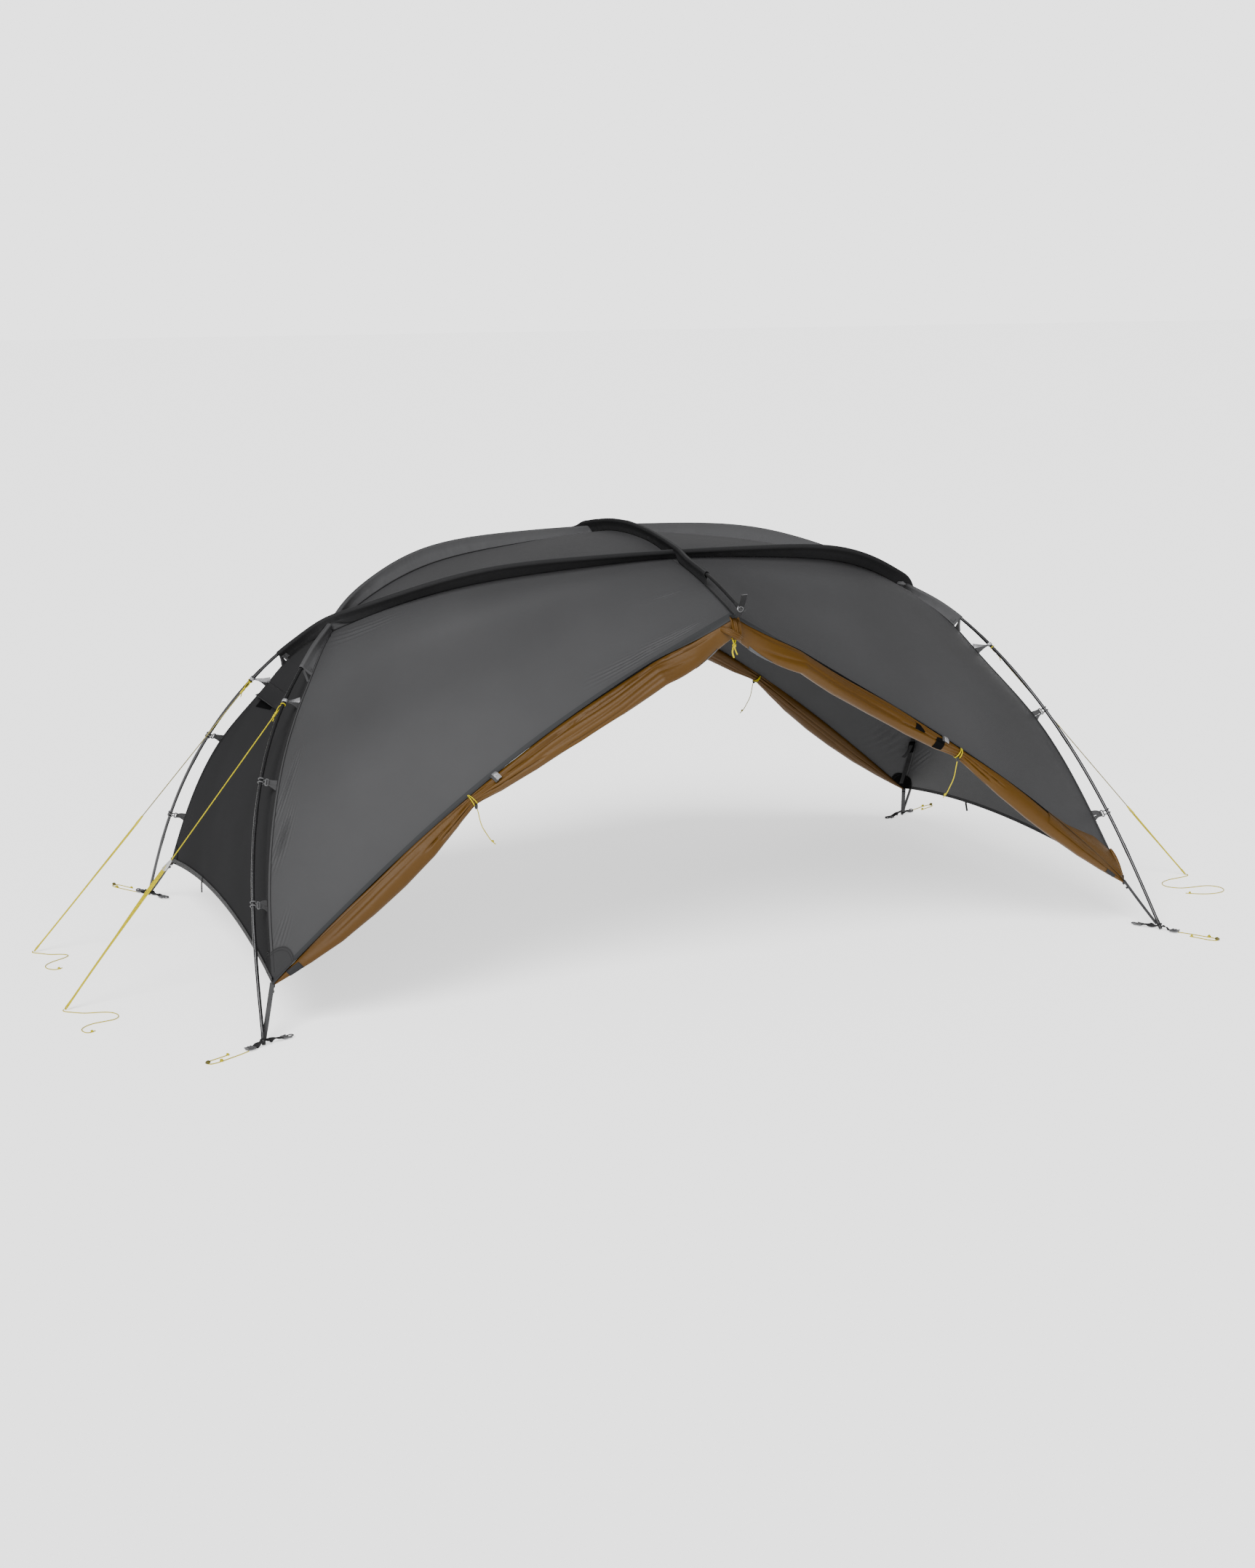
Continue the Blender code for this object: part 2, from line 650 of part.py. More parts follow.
def flat_outline(name, outline, hole, thickness, mat):
    # Flat plate from an outline with one round hole, resting on the ground.
    curve = bpy.data.curves.new(name, "CURVE")
    curve.dimensions = "2D"
    curve.fill_mode = "BOTH"
    curve.extrude = thickness / 2
    centre, radius, count = hole
    ring = [(centre[0] + radius * math.cos(2 * math.pi * k / count),
             centre[1] + radius * math.sin(2 * math.pi * k / count)) for k in range(count)]
    for points in (outline, ring):
        spline = curve.splines.new("POLY")
        spline.points.add(len(points) - 1)
        for spot, point in zip(spline.points, points):
            spot.co = (point[0], point[1], 0.0, 1.0)
        spline.use_cyclic_u = True
    obj = link(name, curve, mat)
    obj.location.z = thickness / 2
    return obj


def foot_tabs():
    # Webbing tab on the ground round the pole tip, with a ladder lock outwards, a buckle
    # inwards and the strap that pulls the canopy corner down.
    corner = np.array(LEG_SEAM[0])
    foot = np.array((LEG_POLE[0][0], LEG_POLE[0][1], 0.0))
    for label, (end, side, heading) in LEGS.items():
        out = unit((*heading, 0.0))
        across = np.array((-out[1], out[0], 0.0))
        base = place(foot, end, side)
        shape = [(-0.064, 0.5), (-0.021, 0.5), (-0.018, 1.1), (0.018, 1.1), (0.021, 0.5),
                 (0.030, 0.5), (0.030, 0.75), (0.050, 0.75)]
        shape = shape + [(a, -b) for a, b in shape[::-1]]
        outline = [tuple((base + out * a + across * b * TAB_W)[:2]) for a, b in shape]
        tab = as_mesh(flat_outline("foot_tab_" + label, outline, (base[:2], TAB_HOLE, 12),
                                   TAB_T, paint["webbing"]))
        buckle = box_between("buckle_" + label, base - out * 0.092 + (0, 0, 0.004),
                             base - out * 0.052 + (0, 0, 0.004), across, 0.021, 0.0079,
                             paint["plastic"])
        top = place(corner, end, side) + (0.0, 0.0, -SHELL / 2 - 0.0012)
        low = base + (0.0, 0.0, TAB_T / 2) + unit(place(corner, end, side) * (1, 1, 0)
                                                 - base * (1, 1, 0)) * 0.0135
        strap = box_between("strap_" + label, low, top, np.cross(top - low, (0, 0, 1)),
                            STRAP_W, STRAP_T, paint["webbing"])
        join(tab, [buckle, strap])


def peg_loops():
    # Yellow cord from each ladder lock, doubled back and knotted, flat on the ground.
    foot = np.array((LEG_POLE[0][0], LEG_POLE[0][1], CORD_LIE))
    for label, (end, side, heading) in LEGS.items():
        out = unit((*heading, 0.0))
        across = np.array((-out[1], out[0], 0.0))
        base = place(foot, end, side)
        shape = [(0.0506, 0.005), (0.080, 0.009), (0.120, 0.0115), (0.162, 0.0115),
                 (0.1694, 0.0084), (0.1725, 0.001), (0.1694, -0.0064), (0.162, -0.0095),
                 (0.130, -0.0112), (0.096, -0.012)]
        keys = [base + out * a + across * b for a, b in shape]
        tube("peg_loop_" + label, even_route(keys, 26), CORD_R, paint["cord"])


def guylines():
    # Each guyline runs from the top clip to its ground anchor and doubles back to the adjuster.
    i = sum(SEAM_STEPS[:3])
    pole = POLE_HALF[i]
    way = unit(POLE_HALF[i + 1] - POLE_HALF[i - 1])
    start = pole - way * 0.0125
    anchor = np.array((*GUY_ANCHOR, CORD_LIE))
    run = anchor - start
    start = start + unit(run - way * np.dot(run, way)) * (POLE_R + CORD_R + 0.0006)
    run = unit(anchor - start)
    across = unit(np.cross(run, (0, 0, 1)))
    up = np.cross(across, run)
    for label, (end, side, heading) in LEGS.items():
        lock = start + (anchor - start) * ADJUSTER_AT[label]
        bend = [(0.012, -0.0045), (0.004, -0.0038), (0.0, 0.0), (0.004, 0.0038),
                (0.012, 0.0045)]
        keys = [start, lock - run * 0.02, lock]
        keys += [anchor - run * back + across * out for back, out in bend]
        keys += [lock + run * 0.012 + across * 0.012]
        line = as_mesh(tube("guyline_" + label, [place(key, end, side) for key in keys],
                            CORD_R, paint["cord"]))
        plate = loft("adjuster_" + label, [[place(lock + run * a + across * b + up * c, end,
                                                 side) for a, b in
                                            ((-0.012, -0.003), (-0.012, 0.003),
                                             (0.016, 0.017), (0.016, -0.009))]
                                           for c in (-0.002, 0.002)], paint["plastic"],
                     smooth=False)
        join(line, [plate])


def guyline_tails():
    for label, (end, side, heading) in LEGS.items():
        base = np.array((GUY_ANCHOR[0] * end, GUY_ANCHOR[1] * side, CORD_LIE))
        out = unit((end, 0.15 * side, 0.0))
        first = unit((*TAILS[label][1], 0.0))
        keys = [base + out * (2 * CORD_R + 0.0005), base + out * 0.007 + first * 0.004]
        keys += [base + (x, y, 0.0) for x, y in TAILS[label][1:]]
        tube("guy_tail_" + label, even_route(keys, 30), CORD_R, paint["cord"])


for old in list(bpy.data.objects):
    bpy.data.objects.remove(old)
tent = bpy.data.collections.new("two_person_tent")
helpers = bpy.data.collections.new("helpers")
bpy.context.scene.collection.children.link(tent)
bpy.context.scene.collection.children.link(helpers)
paint = {
    "canopy": material("canopy_fabric", GREY, 0.55),
    "sleeve": material("sleeve_fabric", DARK, 0.60),
    "door": material("door_fabric", BROWN, 0.50),
    "pole": material("pole_alloy", METAL, 0.30, 0.9),
    "clip": material("reflective_strap", SILVER, 0.45),
    "plastic": material("clip_plastic", (0.10, 0.10, 0.105), 0.50),
    "webbing": material("webbing", DARK, 0.80),
    "cord": material("cord_yellow", YELLOW, 0.70),
}
long_poles()
ridge_pole()
long_sleeves()
ridge_sleeve()
canopy()
door_rolls()
door_ties()
tie_cords()
apex_cords()
apex_tabs()
clips()
foot_tabs()
peg_loops()
guylines()
guyline_tails()
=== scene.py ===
import math
from functools import partial
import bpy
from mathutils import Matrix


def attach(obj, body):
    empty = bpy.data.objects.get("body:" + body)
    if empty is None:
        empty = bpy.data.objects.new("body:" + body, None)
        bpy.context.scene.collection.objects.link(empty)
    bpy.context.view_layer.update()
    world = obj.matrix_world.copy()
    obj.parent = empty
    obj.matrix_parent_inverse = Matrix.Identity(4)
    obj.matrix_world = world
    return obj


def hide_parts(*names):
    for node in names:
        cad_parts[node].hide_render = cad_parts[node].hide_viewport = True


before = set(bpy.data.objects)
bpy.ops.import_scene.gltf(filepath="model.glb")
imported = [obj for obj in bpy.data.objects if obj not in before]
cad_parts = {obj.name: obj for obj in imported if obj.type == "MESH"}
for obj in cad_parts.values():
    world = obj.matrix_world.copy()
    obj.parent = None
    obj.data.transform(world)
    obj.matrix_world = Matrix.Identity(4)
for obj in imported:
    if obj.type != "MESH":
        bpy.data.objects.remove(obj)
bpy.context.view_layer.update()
from types import SimpleNamespace

import bmesh
import bpy
import numpy as np
from mathutils import Matrix, Vector

legs = {"near_left": (-1, -1), "far_left": (-1, 1), "near_right": (1, -1), "far_right": (1, 1)}
# Lines of the tent for the quarter with +X and +Y, in metres: the same points as the solids.
tent = {
    "legPole": [(1.250, 0.775, 0.0032), (1.212, 0.548, 0.291), (1.132, 0.333, 0.552),
                (1.029, 0.191, 0.727), (0.969, 0.132, 0.798)],
    "crossPole": (0.860, 0.0, 0.895),
    "arcPole": [(0.700, -0.152, 0.979), (0.510, -0.262, 1.040), (0.250, -0.318, 1.063),
                (0.0, -0.330, 1.067)],
    "legSeam": [(1.198, 0.663, 0.118), (1.173, 0.535, 0.281), (1.092, 0.340, 0.539),
                (0.988, 0.180, 0.714), (0.947, 0.138, 0.774)],
    "crossSeam": (0.850, 0.0, 0.868),
    "arcSeam": [(0.690, -0.128, 0.949), (0.502, -0.231, 1.004), (0.250, -0.292, 1.035),
                (0.0, -0.313, 1.048)],
    "ridgePole": [(0.0, 1.112), (0.090, 1.109), (0.180, 1.102), (0.250, 1.0938), (0.295, 1.0880),
                  (0.330, 1.0826), (0.368, 1.0765), (0.410, 1.064), (0.480, 1.049),
                  (0.558, 1.034), (0.773, 0.972)],
    "ridgeSeam": [(0.0, 1.083), (0.090, 1.081), (0.180, 1.074), (0.250, 1.063), (0.313, 1.048),
                  (0.360, 1.041), (0.410, 1.034), (0.480, 1.020), (0.558, 1.001),
                  (0.620, 0.984), (0.680, 0.966), (0.728, 0.951)],
    "doorEdge": [(1.198, 0.663, 0.118), (0.900, 0.664, 0.372), (0.600, 0.648, 0.590),
                 (0.300, 0.656, 0.774), (0.0, 0.728, 0.951)],
    "crossLift": 0.0083, "crossReach": 0.095, "poleRadius": 0.0045,
}
spanSteps = 16      # pieces to each span of the long poles and their seams
ridgeSteps, roofEnd = 10, 40      # the same on the ridge, and its point at the far arc


# Lines and places
def unit(vector):
    vector = np.array(vector, float)
    return vector / max(np.linalg.norm(vector), 1e-12)


def squareTo(way, vector):
    # Unit vector of what is left of a vector without its part along a way.
    return unit(vector - way * np.dot(vector, way))


def smoothLine(keys, perSpan):
    # Natural cubic spline through the keys, perSpan pieces to each span.
    keys = np.array(keys, float)
    spans = np.linalg.norm(np.diff(keys, axis=0), axis=1)
    count = len(keys)
    system, known = np.eye(count), np.zeros_like(keys)
    for i in range(1, count - 1):
        system[i, i - 1:i + 2] = spans[i - 1], 2 * (spans[i - 1] + spans[i]), spans[i]
        known[i] = 6 * ((keys[i + 1] - keys[i]) / spans[i] - (keys[i] - keys[i - 1]) / spans[i - 1])
    bend = np.linalg.solve(system, known)
    line = []
    for i, span in enumerate(spans):
        for k in range(perSpan):
            t = span * k / perSpan
            r = span - t
            line.append(bend[i] * r ** 3 / (6 * span) + bend[i + 1] * t ** 3 / (6 * span)
                        + (keys[i] / span - bend[i] * span / 6) * r
                        + (keys[i + 1] / span - bend[i + 1] * span / 6) * t)
    return np.array(line + [keys[-1]])


def runLength(line):
    return np.r_[0.0, np.cumsum(np.linalg.norm(np.diff(np.array(line), axis=0), axis=1))]


def mixAt(at, keys, values):
    # Rows of values between the keys, each column on its own.
    return np.stack([np.interp(at, keys, column) for column in np.array(values, float).T], -1)


def atShares(line, shares):
    run = runLength(line)
    return mixAt(np.array(shares) * run[-1], run, line)


def evenLine(keys, count):
    return atShares(smoothLine(keys, 12), np.linspace(0, 1, count))


def ways(line):
    spans = [unit(step) for step in np.diff(np.array(line), axis=0)]
    return np.array([unit(a + b) for a, b in zip(spans[:1] + spans, spans + spans[-1:])])


def placed(points, end, side):
    return np.array(points, float) * (end, side, 1.0)


def inFrame(start, axes, spots):
    # Places given by how far they are along a few ways from a start.
    return np.array(start, float) + np.array(spots, float) @ np.array(axes, float)


def roundLine(middle, a, b, turns):
    # Points round a middle, from the way a towards the way b.
    turns = np.array(turns)[:, None]
    return middle + np.cos(turns) * a + np.sin(turns) * b


def bell(x, width):
    return np.exp(-(np.array(x) / width) ** 2)


def bothHalves(half):
    # Half a line and its mirror image past x = 0.
    return np.vstack([half, half[-2::-1] * (-1, 1, 1)])


def footToMiddle(leg, middle, arc):
    # Right half of a long line from its foot to x = 0, out of the curve through the whole line.
    half = np.array([*leg, middle, *arc])
    return smoothLine(bothHalves(half), spanSteps)[:(len(half) - 1) * spanSteps + 1]


poleHalf = footToMiddle(tent["legPole"], tent["crossPole"], tent["arcPole"])
seamHalf = footToMiddle(tent["legSeam"], tent["crossSeam"], tent["arcSeam"])
crossAt = len(tent["legPole"]) * spanSteps
ridgeSeam, ridgePole = [smoothLine([(0, y, z) for y, z in tent[key]], ridgeSteps)
                        for key in ("ridgeSeam", "ridgePole")]
doorEdge = smoothLine(tent["doorEdge"], 24)


# Meshes
def finishPiece(obj, slotName, *replaced):
    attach(obj, "root")
    if replaced:
        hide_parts(*replaced)
    return obj


def newObject(name, data):
    obj = bpy.data.objects.new(name, data)
    bpy.context.scene.collection.objects.link(obj)
    return obj


def shaded(mesh, finish, angle):
    mesh.materials.append(finishes[finish])
    mesh.shade_smooth()
    mesh.set_sharp_from_angle(angle=math.radians(angle))
    return mesh


def meshPiece(name, points, faces, finish, uvs, angle):
    mesh = bpy.data.meshes.new(name)
    mesh.from_pydata(np.array(points, float).tolist(), [], faces)
    mesh.uv_layers.new(name="cloth").data.foreach_set("uv", np.array(uvs, np.float32).ravel())
    mesh.update()
    return newObject(name, shaded(mesh, finish, angle))


def mended(obj, weld=0.0, outward=True):
    # Welds points that meet and turns the faces outward.
    bm = bmesh.new()
    bm.from_mesh(obj.data)
    if weld:
        bmesh.ops.remove_doubles(bm, verts=bm.verts, dist=weld)
    if outward:
        bmesh.ops.recalc_face_normals(bm, faces=bm.faces)
    bm.to_mesh(obj.data)
    bm.free()
    return obj


def thicken(obj, thickness, offset):
    solid = obj.modifiers.new("Thickness", "SOLIDIFY")
    solid.thickness, solid.offset = thickness, offset
    return solid


def facing(grid, outward):
    # The grid with its faces turned to the outward side.
    a, b = grid[1:, :-1] - grid[:-1, :-1], grid[:-1, 1:] - grid[:-1, :-1]
    return grid[:, ::-1] if (np.cross(b, a) @ np.array(outward, float)).sum() < 0 else grid


def meanRun(grid, axis):
    return np.r_[0, np.cumsum(np.linalg.norm(np.diff(grid, axis=axis), axis=2).mean(1 - axis))]


def gridParts(grid, closed=False, us=None, vs=None):
    # Points, faces and corner UVs of a grid of points; the UVs are in metres unless given.
    grid = np.array(grid)
    rows, columns = grid.shape[:2]
    if us is None:
        us = meanRun(np.hstack([grid, grid[:, :1]]) if closed else grid, 1)
        vs = meanRun(grid, 0)
    faces, uvs = [], []
    for i in range(rows - 1):
        for j in range(columns if closed else columns - 1):
            a, b = i * columns + j, i * columns + (j + 1) % columns
            faces.append((a, b, b + columns, a + columns))
            uvs += [(us[j], vs[i]), (us[j + 1], vs[i]), (us[j + 1], vs[i + 1]), (us[j], vs[i + 1])]
    return grid.reshape(-1, 3), faces, uvs


def gridPiece(name, grid, finish, outward=None, thickness=0.0, offset=0.0, closed=False):
    grid = np.array(grid)
    points, faces, uvs = gridParts(grid if outward is None else facing(grid, outward), closed)
    obj = meshPiece(name, points, faces, finish, uvs, 40)
    if thickness:
        thicken(obj, thickness, offset)
    return obj


def skinPiece(name, rings, finish, angle, us=None, vs=None, caps=((0, 0), (0, 0))):
    # Skin over closed rings of points, with a face at each end.
    points, faces, uvs = gridParts(rings, True, us, vs)
    count = len(rings[0])
    last = len(points) - count
    faces += [tuple(range(count))[::-1], tuple(range(last, last + count))]
    uvs += [caps[0]] * count + [caps[1]] * count
    return meshPiece(name, points, faces, finish, uvs, angle)


def tubePiece(name, line, radius, finish, sides=12):
    line = np.array(line, float)
    way, run = ways(line), runLength(line)
    top = np.array((1.0, 0.3, 0.0) if abs(way[0][2]) > 0.95 else (0.0, 0.0, 1.0))
    tops = []
    for w in way:
        top = squareTo(w, top)
        tops.append(top)
    turn = np.linspace(0, 2 * math.pi, sides, endpoint=False)[None, :, None]
    flanks, tops = np.cross(way, tops)[:, None], np.array(tops)[:, None]
    radius = np.broadcast_to(radius, len(line))[:, None, None]
    rings = line[:, None] + radius * (np.cos(turn) * flanks + np.sin(turn) * tops)
    return skinPiece(name, rings, finish, 50, np.arange(sides + 1) / sides, run,
                     ((0.5, 0.0), (0.5, run[-1])))


def ribbonPiece(name, line, tops, width, thickness, finish, crown=0.0):
    # Strap with rounded edges along a line; tops is one way up or a list of them.
    line = np.array(line, float)
    t, rings = thickness / 2, []
    for point, w, top, wide in zip(line, ways(line), np.broadcast_to(tops, line.shape),
                                   np.broadcast_to(width, len(line))):
        top, h = squareTo(w, top), wide / 2
        section = [(-h, 0), (-h + t * 0.5, t), (-h * 0.4, t + crown), (h * 0.4, t + crown),
                   (h - t * 0.5, t), (h, 0), (h - t * 0.5, -t), (h * 0.4, -t + crown),
                   (-h * 0.4, -t + crown), (-h + t * 0.5, -t)]
        rings.append(inFrame(point, (np.cross(w, top), top), section))
    return mended(skinPiece(name, rings, finish, 30))


def joined(name, parts):
    # One piece out of several meshes; each keeps its material.
    mesh = bpy.data.meshes.new(name)
    bm = bmesh.new()
    bm.loops.layers.uv.new("cloth")
    for part in parts:
        start = len(bm.faces)
        bm.from_mesh(part.data)
        material = part.data.materials[0]
        if material.name not in mesh.materials:
            mesh.materials.append(material)
        slot = mesh.materials.find(material.name)
        bm.faces.ensure_lookup_table()
        for face in bm.faces[start:]:
            face.material_index = slot
        bpy.data.objects.remove(part)
    bm.to_mesh(mesh)
    bm.free()
    return newObject(name, mesh)


class Parts:
    # Meshes of one piece, drawn in the quarter with +X and +Y and set in their own.
    def __init__(self, end=1, side=1):
        self.mirror = np.array((end, side, 1.0))
        self.meshes = []

    def tube(self, line, radius, finish, sides=8):
        self.meshes.append(tubePiece("tube", self.mirror * line, radius, finish, sides))

    def ribbon(self, line, tops, width, thickness, finish, crown=0.0):
        self.meshes.append(ribbonPiece("ribbon", self.mirror * line, self.mirror * tops, width,
                                       thickness, finish, crown))

    def sheet(self, grid, finish, outward):
        self.meshes.append(gridPiece("sheet", self.mirror * grid, finish, self.mirror * outward))

    def plate(self, outline, holes, thickness, finish, place, bevel=0.0004):
        self.meshes.append(platePiece("plate", outline, holes, thickness, finish,
                                      [self.mirror * row for row in place], bevel))

    def knot(self, middle, axis, size, radius, finish, turn=0.0):
        self.meshes.append(knotPiece("knot", self.mirror * middle, self.mirror * axis, size,
                                     radius, finish, turn))

    def piece(self, name, slotName, *replaced):
        return finishPiece(joined(name, self.meshes), slotName, *replaced)


def frameMatrix(side, top, normal, middle):
    return Matrix([*np.column_stack([side, top, normal, middle]).tolist(), [0, 0, 0, 1]])


def platePiece(name, outline, holes, thickness, finish, place, bevel):
    # Flat plate from an outline and round holes, in the plane of place = (middle, side, top).
    curve = bpy.data.curves.new(name, "CURVE")
    curve.dimensions = "2D"
    curve.fill_mode = "BOTH"
    curve.extrude = thickness / 2 - bevel
    curve.bevel_depth = bevel
    curve.bevel_resolution = 1
    turn = np.linspace(0, 2 * math.pi, 14, endpoint=False)
    for ring in [outline] + [np.column_stack([x + r * np.cos(turn), y + r * np.sin(turn)])
                             for x, y, r in holes]:
        spline = curve.splines.new("POLY")
        spline.points.add(len(ring) - 1)
        for spot, (x, y) in zip(spline.points, ring):
            spot.co = (x, y, 0, 1)
        spline.use_cyclic_u = True
    flat = newObject(name + "_flat", curve)
    bpy.context.view_layer.update()
    mesh = bpy.data.meshes.new_from_object(
        flat.evaluated_get(bpy.context.evaluated_depsgraph_get()))
    bpy.data.objects.remove(flat)
    middle, side = place[0], unit(place[1])
    top = squareTo(side, place[2])
    mesh.transform(frameMatrix(side, top, np.cross(side, top), middle))
    mesh.materials.clear()
    obj = mended(newObject(name, mesh), 0.00002)
    shaded(mesh, finish, 35)
    return obj


def roundedOutline(corners, radius, steps=4):
    # Corners of a flat outline, each rounded off.
    out = []
    count = len(corners)
    for i in range(count):
        a, b, c = [np.array(corners[(i + k) % count], float) for k in (-1, 0, 1)]
        cut = min(radius, np.linalg.norm(a - b) * 0.45, np.linalg.norm(c - b) * 0.45)
        p, q = b + unit(a - b) * cut, b + unit(c - b) * cut
        for k in range(steps + 1):
            t = k / steps
            out.append((1 - t) ** 2 * p + 2 * t * (1 - t) * b + t * t * q)
    return out


def knotPiece(name, middle, axis, size, radius, finish, turn=0.0):
    # Small overhand knot: a closed three-lobed loop of the cord.
    axis = unit(axis)
    side = unit(np.cross(axis, (0.3, 0.2, 1.0)))
    t = np.linspace(0, 2 * math.pi, 40)
    lobes = np.column_stack([(np.sin(t + turn) + 2 * np.sin(2 * t)) / 3,
                             (np.cos(t + turn) - 2 * np.cos(2 * t)) / 3 * 0.8,
                             -np.sin(3 * t) * 0.55 * 1.3])
    line = inFrame(middle, (side, np.cross(axis, side), axis), size * lobes)
    if middle[2] < 0.02:
        line[:, 2] += max(radius + 0.0002 - line[:, 2].min(), 0.0)     # lies on the ground
    return tubePiece(name, line, radius, finish, 8)


# Shader groups and materials
def addNode(tree, kind, links, **settings):
    node = tree.nodes.new(kind)
    for key, value in settings.items():
        setattr(node, key, value)
    for label, source in links.items():
        if hasattr(source, "links"):
            tree.links.new(source, node.inputs[label])
        else:
            node.inputs[label].default_value = source
    return node


def maths(tree, operation, a, b=0.0):
    return addNode(tree, "ShaderNodeMath", {0: a, 1: b}, operation=operation).outputs[0]


def newGroup(name, numbers, outputs):
    # A group with a vector and named numbers going in; gives its sockets and its own maths.
    tree = bpy.data.node_groups.new(name, "ShaderNodeTree")
    add = tree.interface.new_socket
    add(name="Vector", in_out="INPUT", socket_type="NodeSocketVector")
    for label, value in numbers.items():
        add(name=label, in_out="INPUT", socket_type="NodeSocketFloat").default_value = value
    for label in outputs:
        add(name=label, in_out="OUTPUT", socket_type="NodeSocketFloat")
    start = tree.nodes.new("NodeGroupInput").outputs
    parts = addNode(tree, "ShaderNodeSeparateXYZ", {0: start["Vector"]}).outputs
    return tree, start, parts, tree.nodes.new("NodeGroupOutput").inputs, partial(maths, tree)


def buildWeaveGroup():
    # Plain weave from UVs in metres: over and under threads, with a little unevenness.
    tree, start, parts, end, sums = newGroup("plain_weave", {"Threads": 900.0, "Uneven": 0.3},
                                             ["Height"])
    rate = sums("MULTIPLY", start["Threads"], 2 * math.pi)
    across, along = [sums("SINE", sums("MULTIPLY", parts[k], rate)) for k in (0, 1)]
    slub = addNode(tree, "ShaderNodeTexNoise",
                   {"Vector": start["Vector"], "Scale": 140.0, "Detail": 2.0})
    uneven = sums("MULTIPLY", slub.outputs[0], start["Uneven"])
    tree.links.new(sums("ADD", sums("MULTIPLY", across, along), uneven), end["Height"])
    return tree


def buildCloudGroup():
    # Broad soft patches and fine grain in object space.
    tree, start, parts, end, sums = newGroup("soft_patches", {"Broad": 3.0, "Fine": 160.0},
                                             ["Patch", "Grain"])
    for label, detail, output in (("Broad", 3.0, "Patch"), ("Fine", 5.0, "Grain")):
        noise = addNode(tree, "ShaderNodeTexNoise", {
            "Vector": start["Vector"], "Scale": start[label], "Detail": detail, "Roughness": 0.55})
        tree.links.new(noise.outputs[0], end[output])
    return tree


def buildCrinkleGroup():
    # Fine soft creases of tensioned cloth.
    tree, start, parts, end, sums = newGroup("cloth_crinkle", {"Size": 9.0}, ["Height"])
    warp = addNode(tree, "ShaderNodeTexNoise",
                   {"Vector": start["Vector"], "Scale": 3.0, "Detail": 1.0})
    moved = addNode(tree, "ShaderNodeVectorMath", {0: start["Vector"], 1: warp.outputs["Color"]},
                    operation="ADD")
    noise = addNode(tree, "ShaderNodeTexNoise", {
        "Vector": moved.outputs[0], "Scale": start["Size"], "Detail": 3.0, "Roughness": 0.45})
    ridge = sums("ABSOLUTE", sums("SUBTRACT", noise.outputs[0], 0.5))
    tree.links.new(sums("SUBTRACT", 1.0, sums("MULTIPLY", ridge, 2.0)), end["Height"])
    return tree


def buildBraidGroup():
    # Braid of a thin cord from UVs: u once round it, v along it in metres.
    tree, start, parts, end, sums = newGroup("cord_braid", {"Pitch": 0.005}, ["Height", "Fleck"])
    around = sums("MULTIPLY", parts[0], 2 * math.pi * 4)
    along = sums("MULTIPLY", sums("DIVIDE", parts[1], start["Pitch"]), 2 * math.pi)
    one, two = [sums("SINE", sums(way, around, along)) for way in ("ADD", "SUBTRACT")]
    tree.links.new(sums("MULTIPLY", one, two), end["Height"])
    turn = sums("ADD", sums("MULTIPLY", along, 0.5), sums("MULTIPLY", around, 0.25))
    tree.links.new(sums("GREATER_THAN", sums("SINE", turn), 0.93), end["Fleck"])
    return tree


def buildRibGroup():
    # Ribs of woven webbing and tape, across its length.
    tree, start, parts, end, sums = newGroup("webbing_ribs", {"Ribs": 700.0}, ["Height"])
    rate = sums("MULTIPLY", start["Ribs"], 2 * math.pi)
    along = sums("SINE", sums("MULTIPLY", parts[1], rate))
    across = sums("SINE", sums("MULTIPLY", sums("MULTIPLY", parts[0], rate), 0.5))
    tree.links.new(sums("ADD", along, sums("MULTIPLY", across, 0.5)), end["Height"])
    return tree


groups = {"weave": buildWeaveGroup(), "cloud": buildCloudGroup(),
          "crinkle": buildCrinkleGroup(), "braid": buildBraidGroup(), "ribs": buildRibGroup()}
print("shader groups made")


def place(tree, group, **values):
    return addNode(tree, "ShaderNodeGroup", values, node_tree=groups[group]).outputs


def plainMaterial(name, **fixed):
    material = bpy.data.materials.new(name)
    material.use_nodes = True
    shader = material.node_tree.nodes["Principled BSDF"]
    for label, value in fixed.items():
        shader.inputs[label.replace("_", " ")].default_value = value
    return material, material.node_tree, shader


def coloured(tree, shader, factor, low, high):
    # Two colours, or a socket's colour and another, mixed for the shader.
    low = low if hasattr(low, "links") else (*low, 1)
    mix = addNode(tree, "ShaderNodeMix", {"Factor": factor, "A": low, "B": (*high, 1)},
                  data_type="RGBA")
    tree.links.new(mix.outputs["Result"], shader.inputs["Base Color"])
    return mix.outputs["Result"]


def newLook(name, low, high, roughness, patches, **fixed):
    # Material whose colour and roughness drift over soft patches, broad and fine.
    material, tree, shader = plainMaterial(name, **fixed)
    spot = tree.nodes.new("ShaderNodeTexCoord").outputs
    cloud = place(tree, "cloud", Vector=spot["Object"], Broad=patches[0], Fine=patches[1])
    ramp = addNode(tree, "ShaderNodeMapRange",
                   {"Value": cloud["Patch"], "From Min": 0.3, "From Max": 0.7})
    colour = coloured(tree, shader, ramp.outputs["Result"], low, high)
    ramp = addNode(tree, "ShaderNodeMapRange",
                   {"Value": cloud["Grain"], "To Min": roughness[0], "To Max": roughness[1]})
    tree.links.new(ramp.outputs["Result"], shader.inputs["Roughness"])
    return SimpleNamespace(material=material, tree=tree, shader=shader, uv=spot["UV"],
                           spot=spot["Object"], grain=cloud["Grain"], colour=colour)


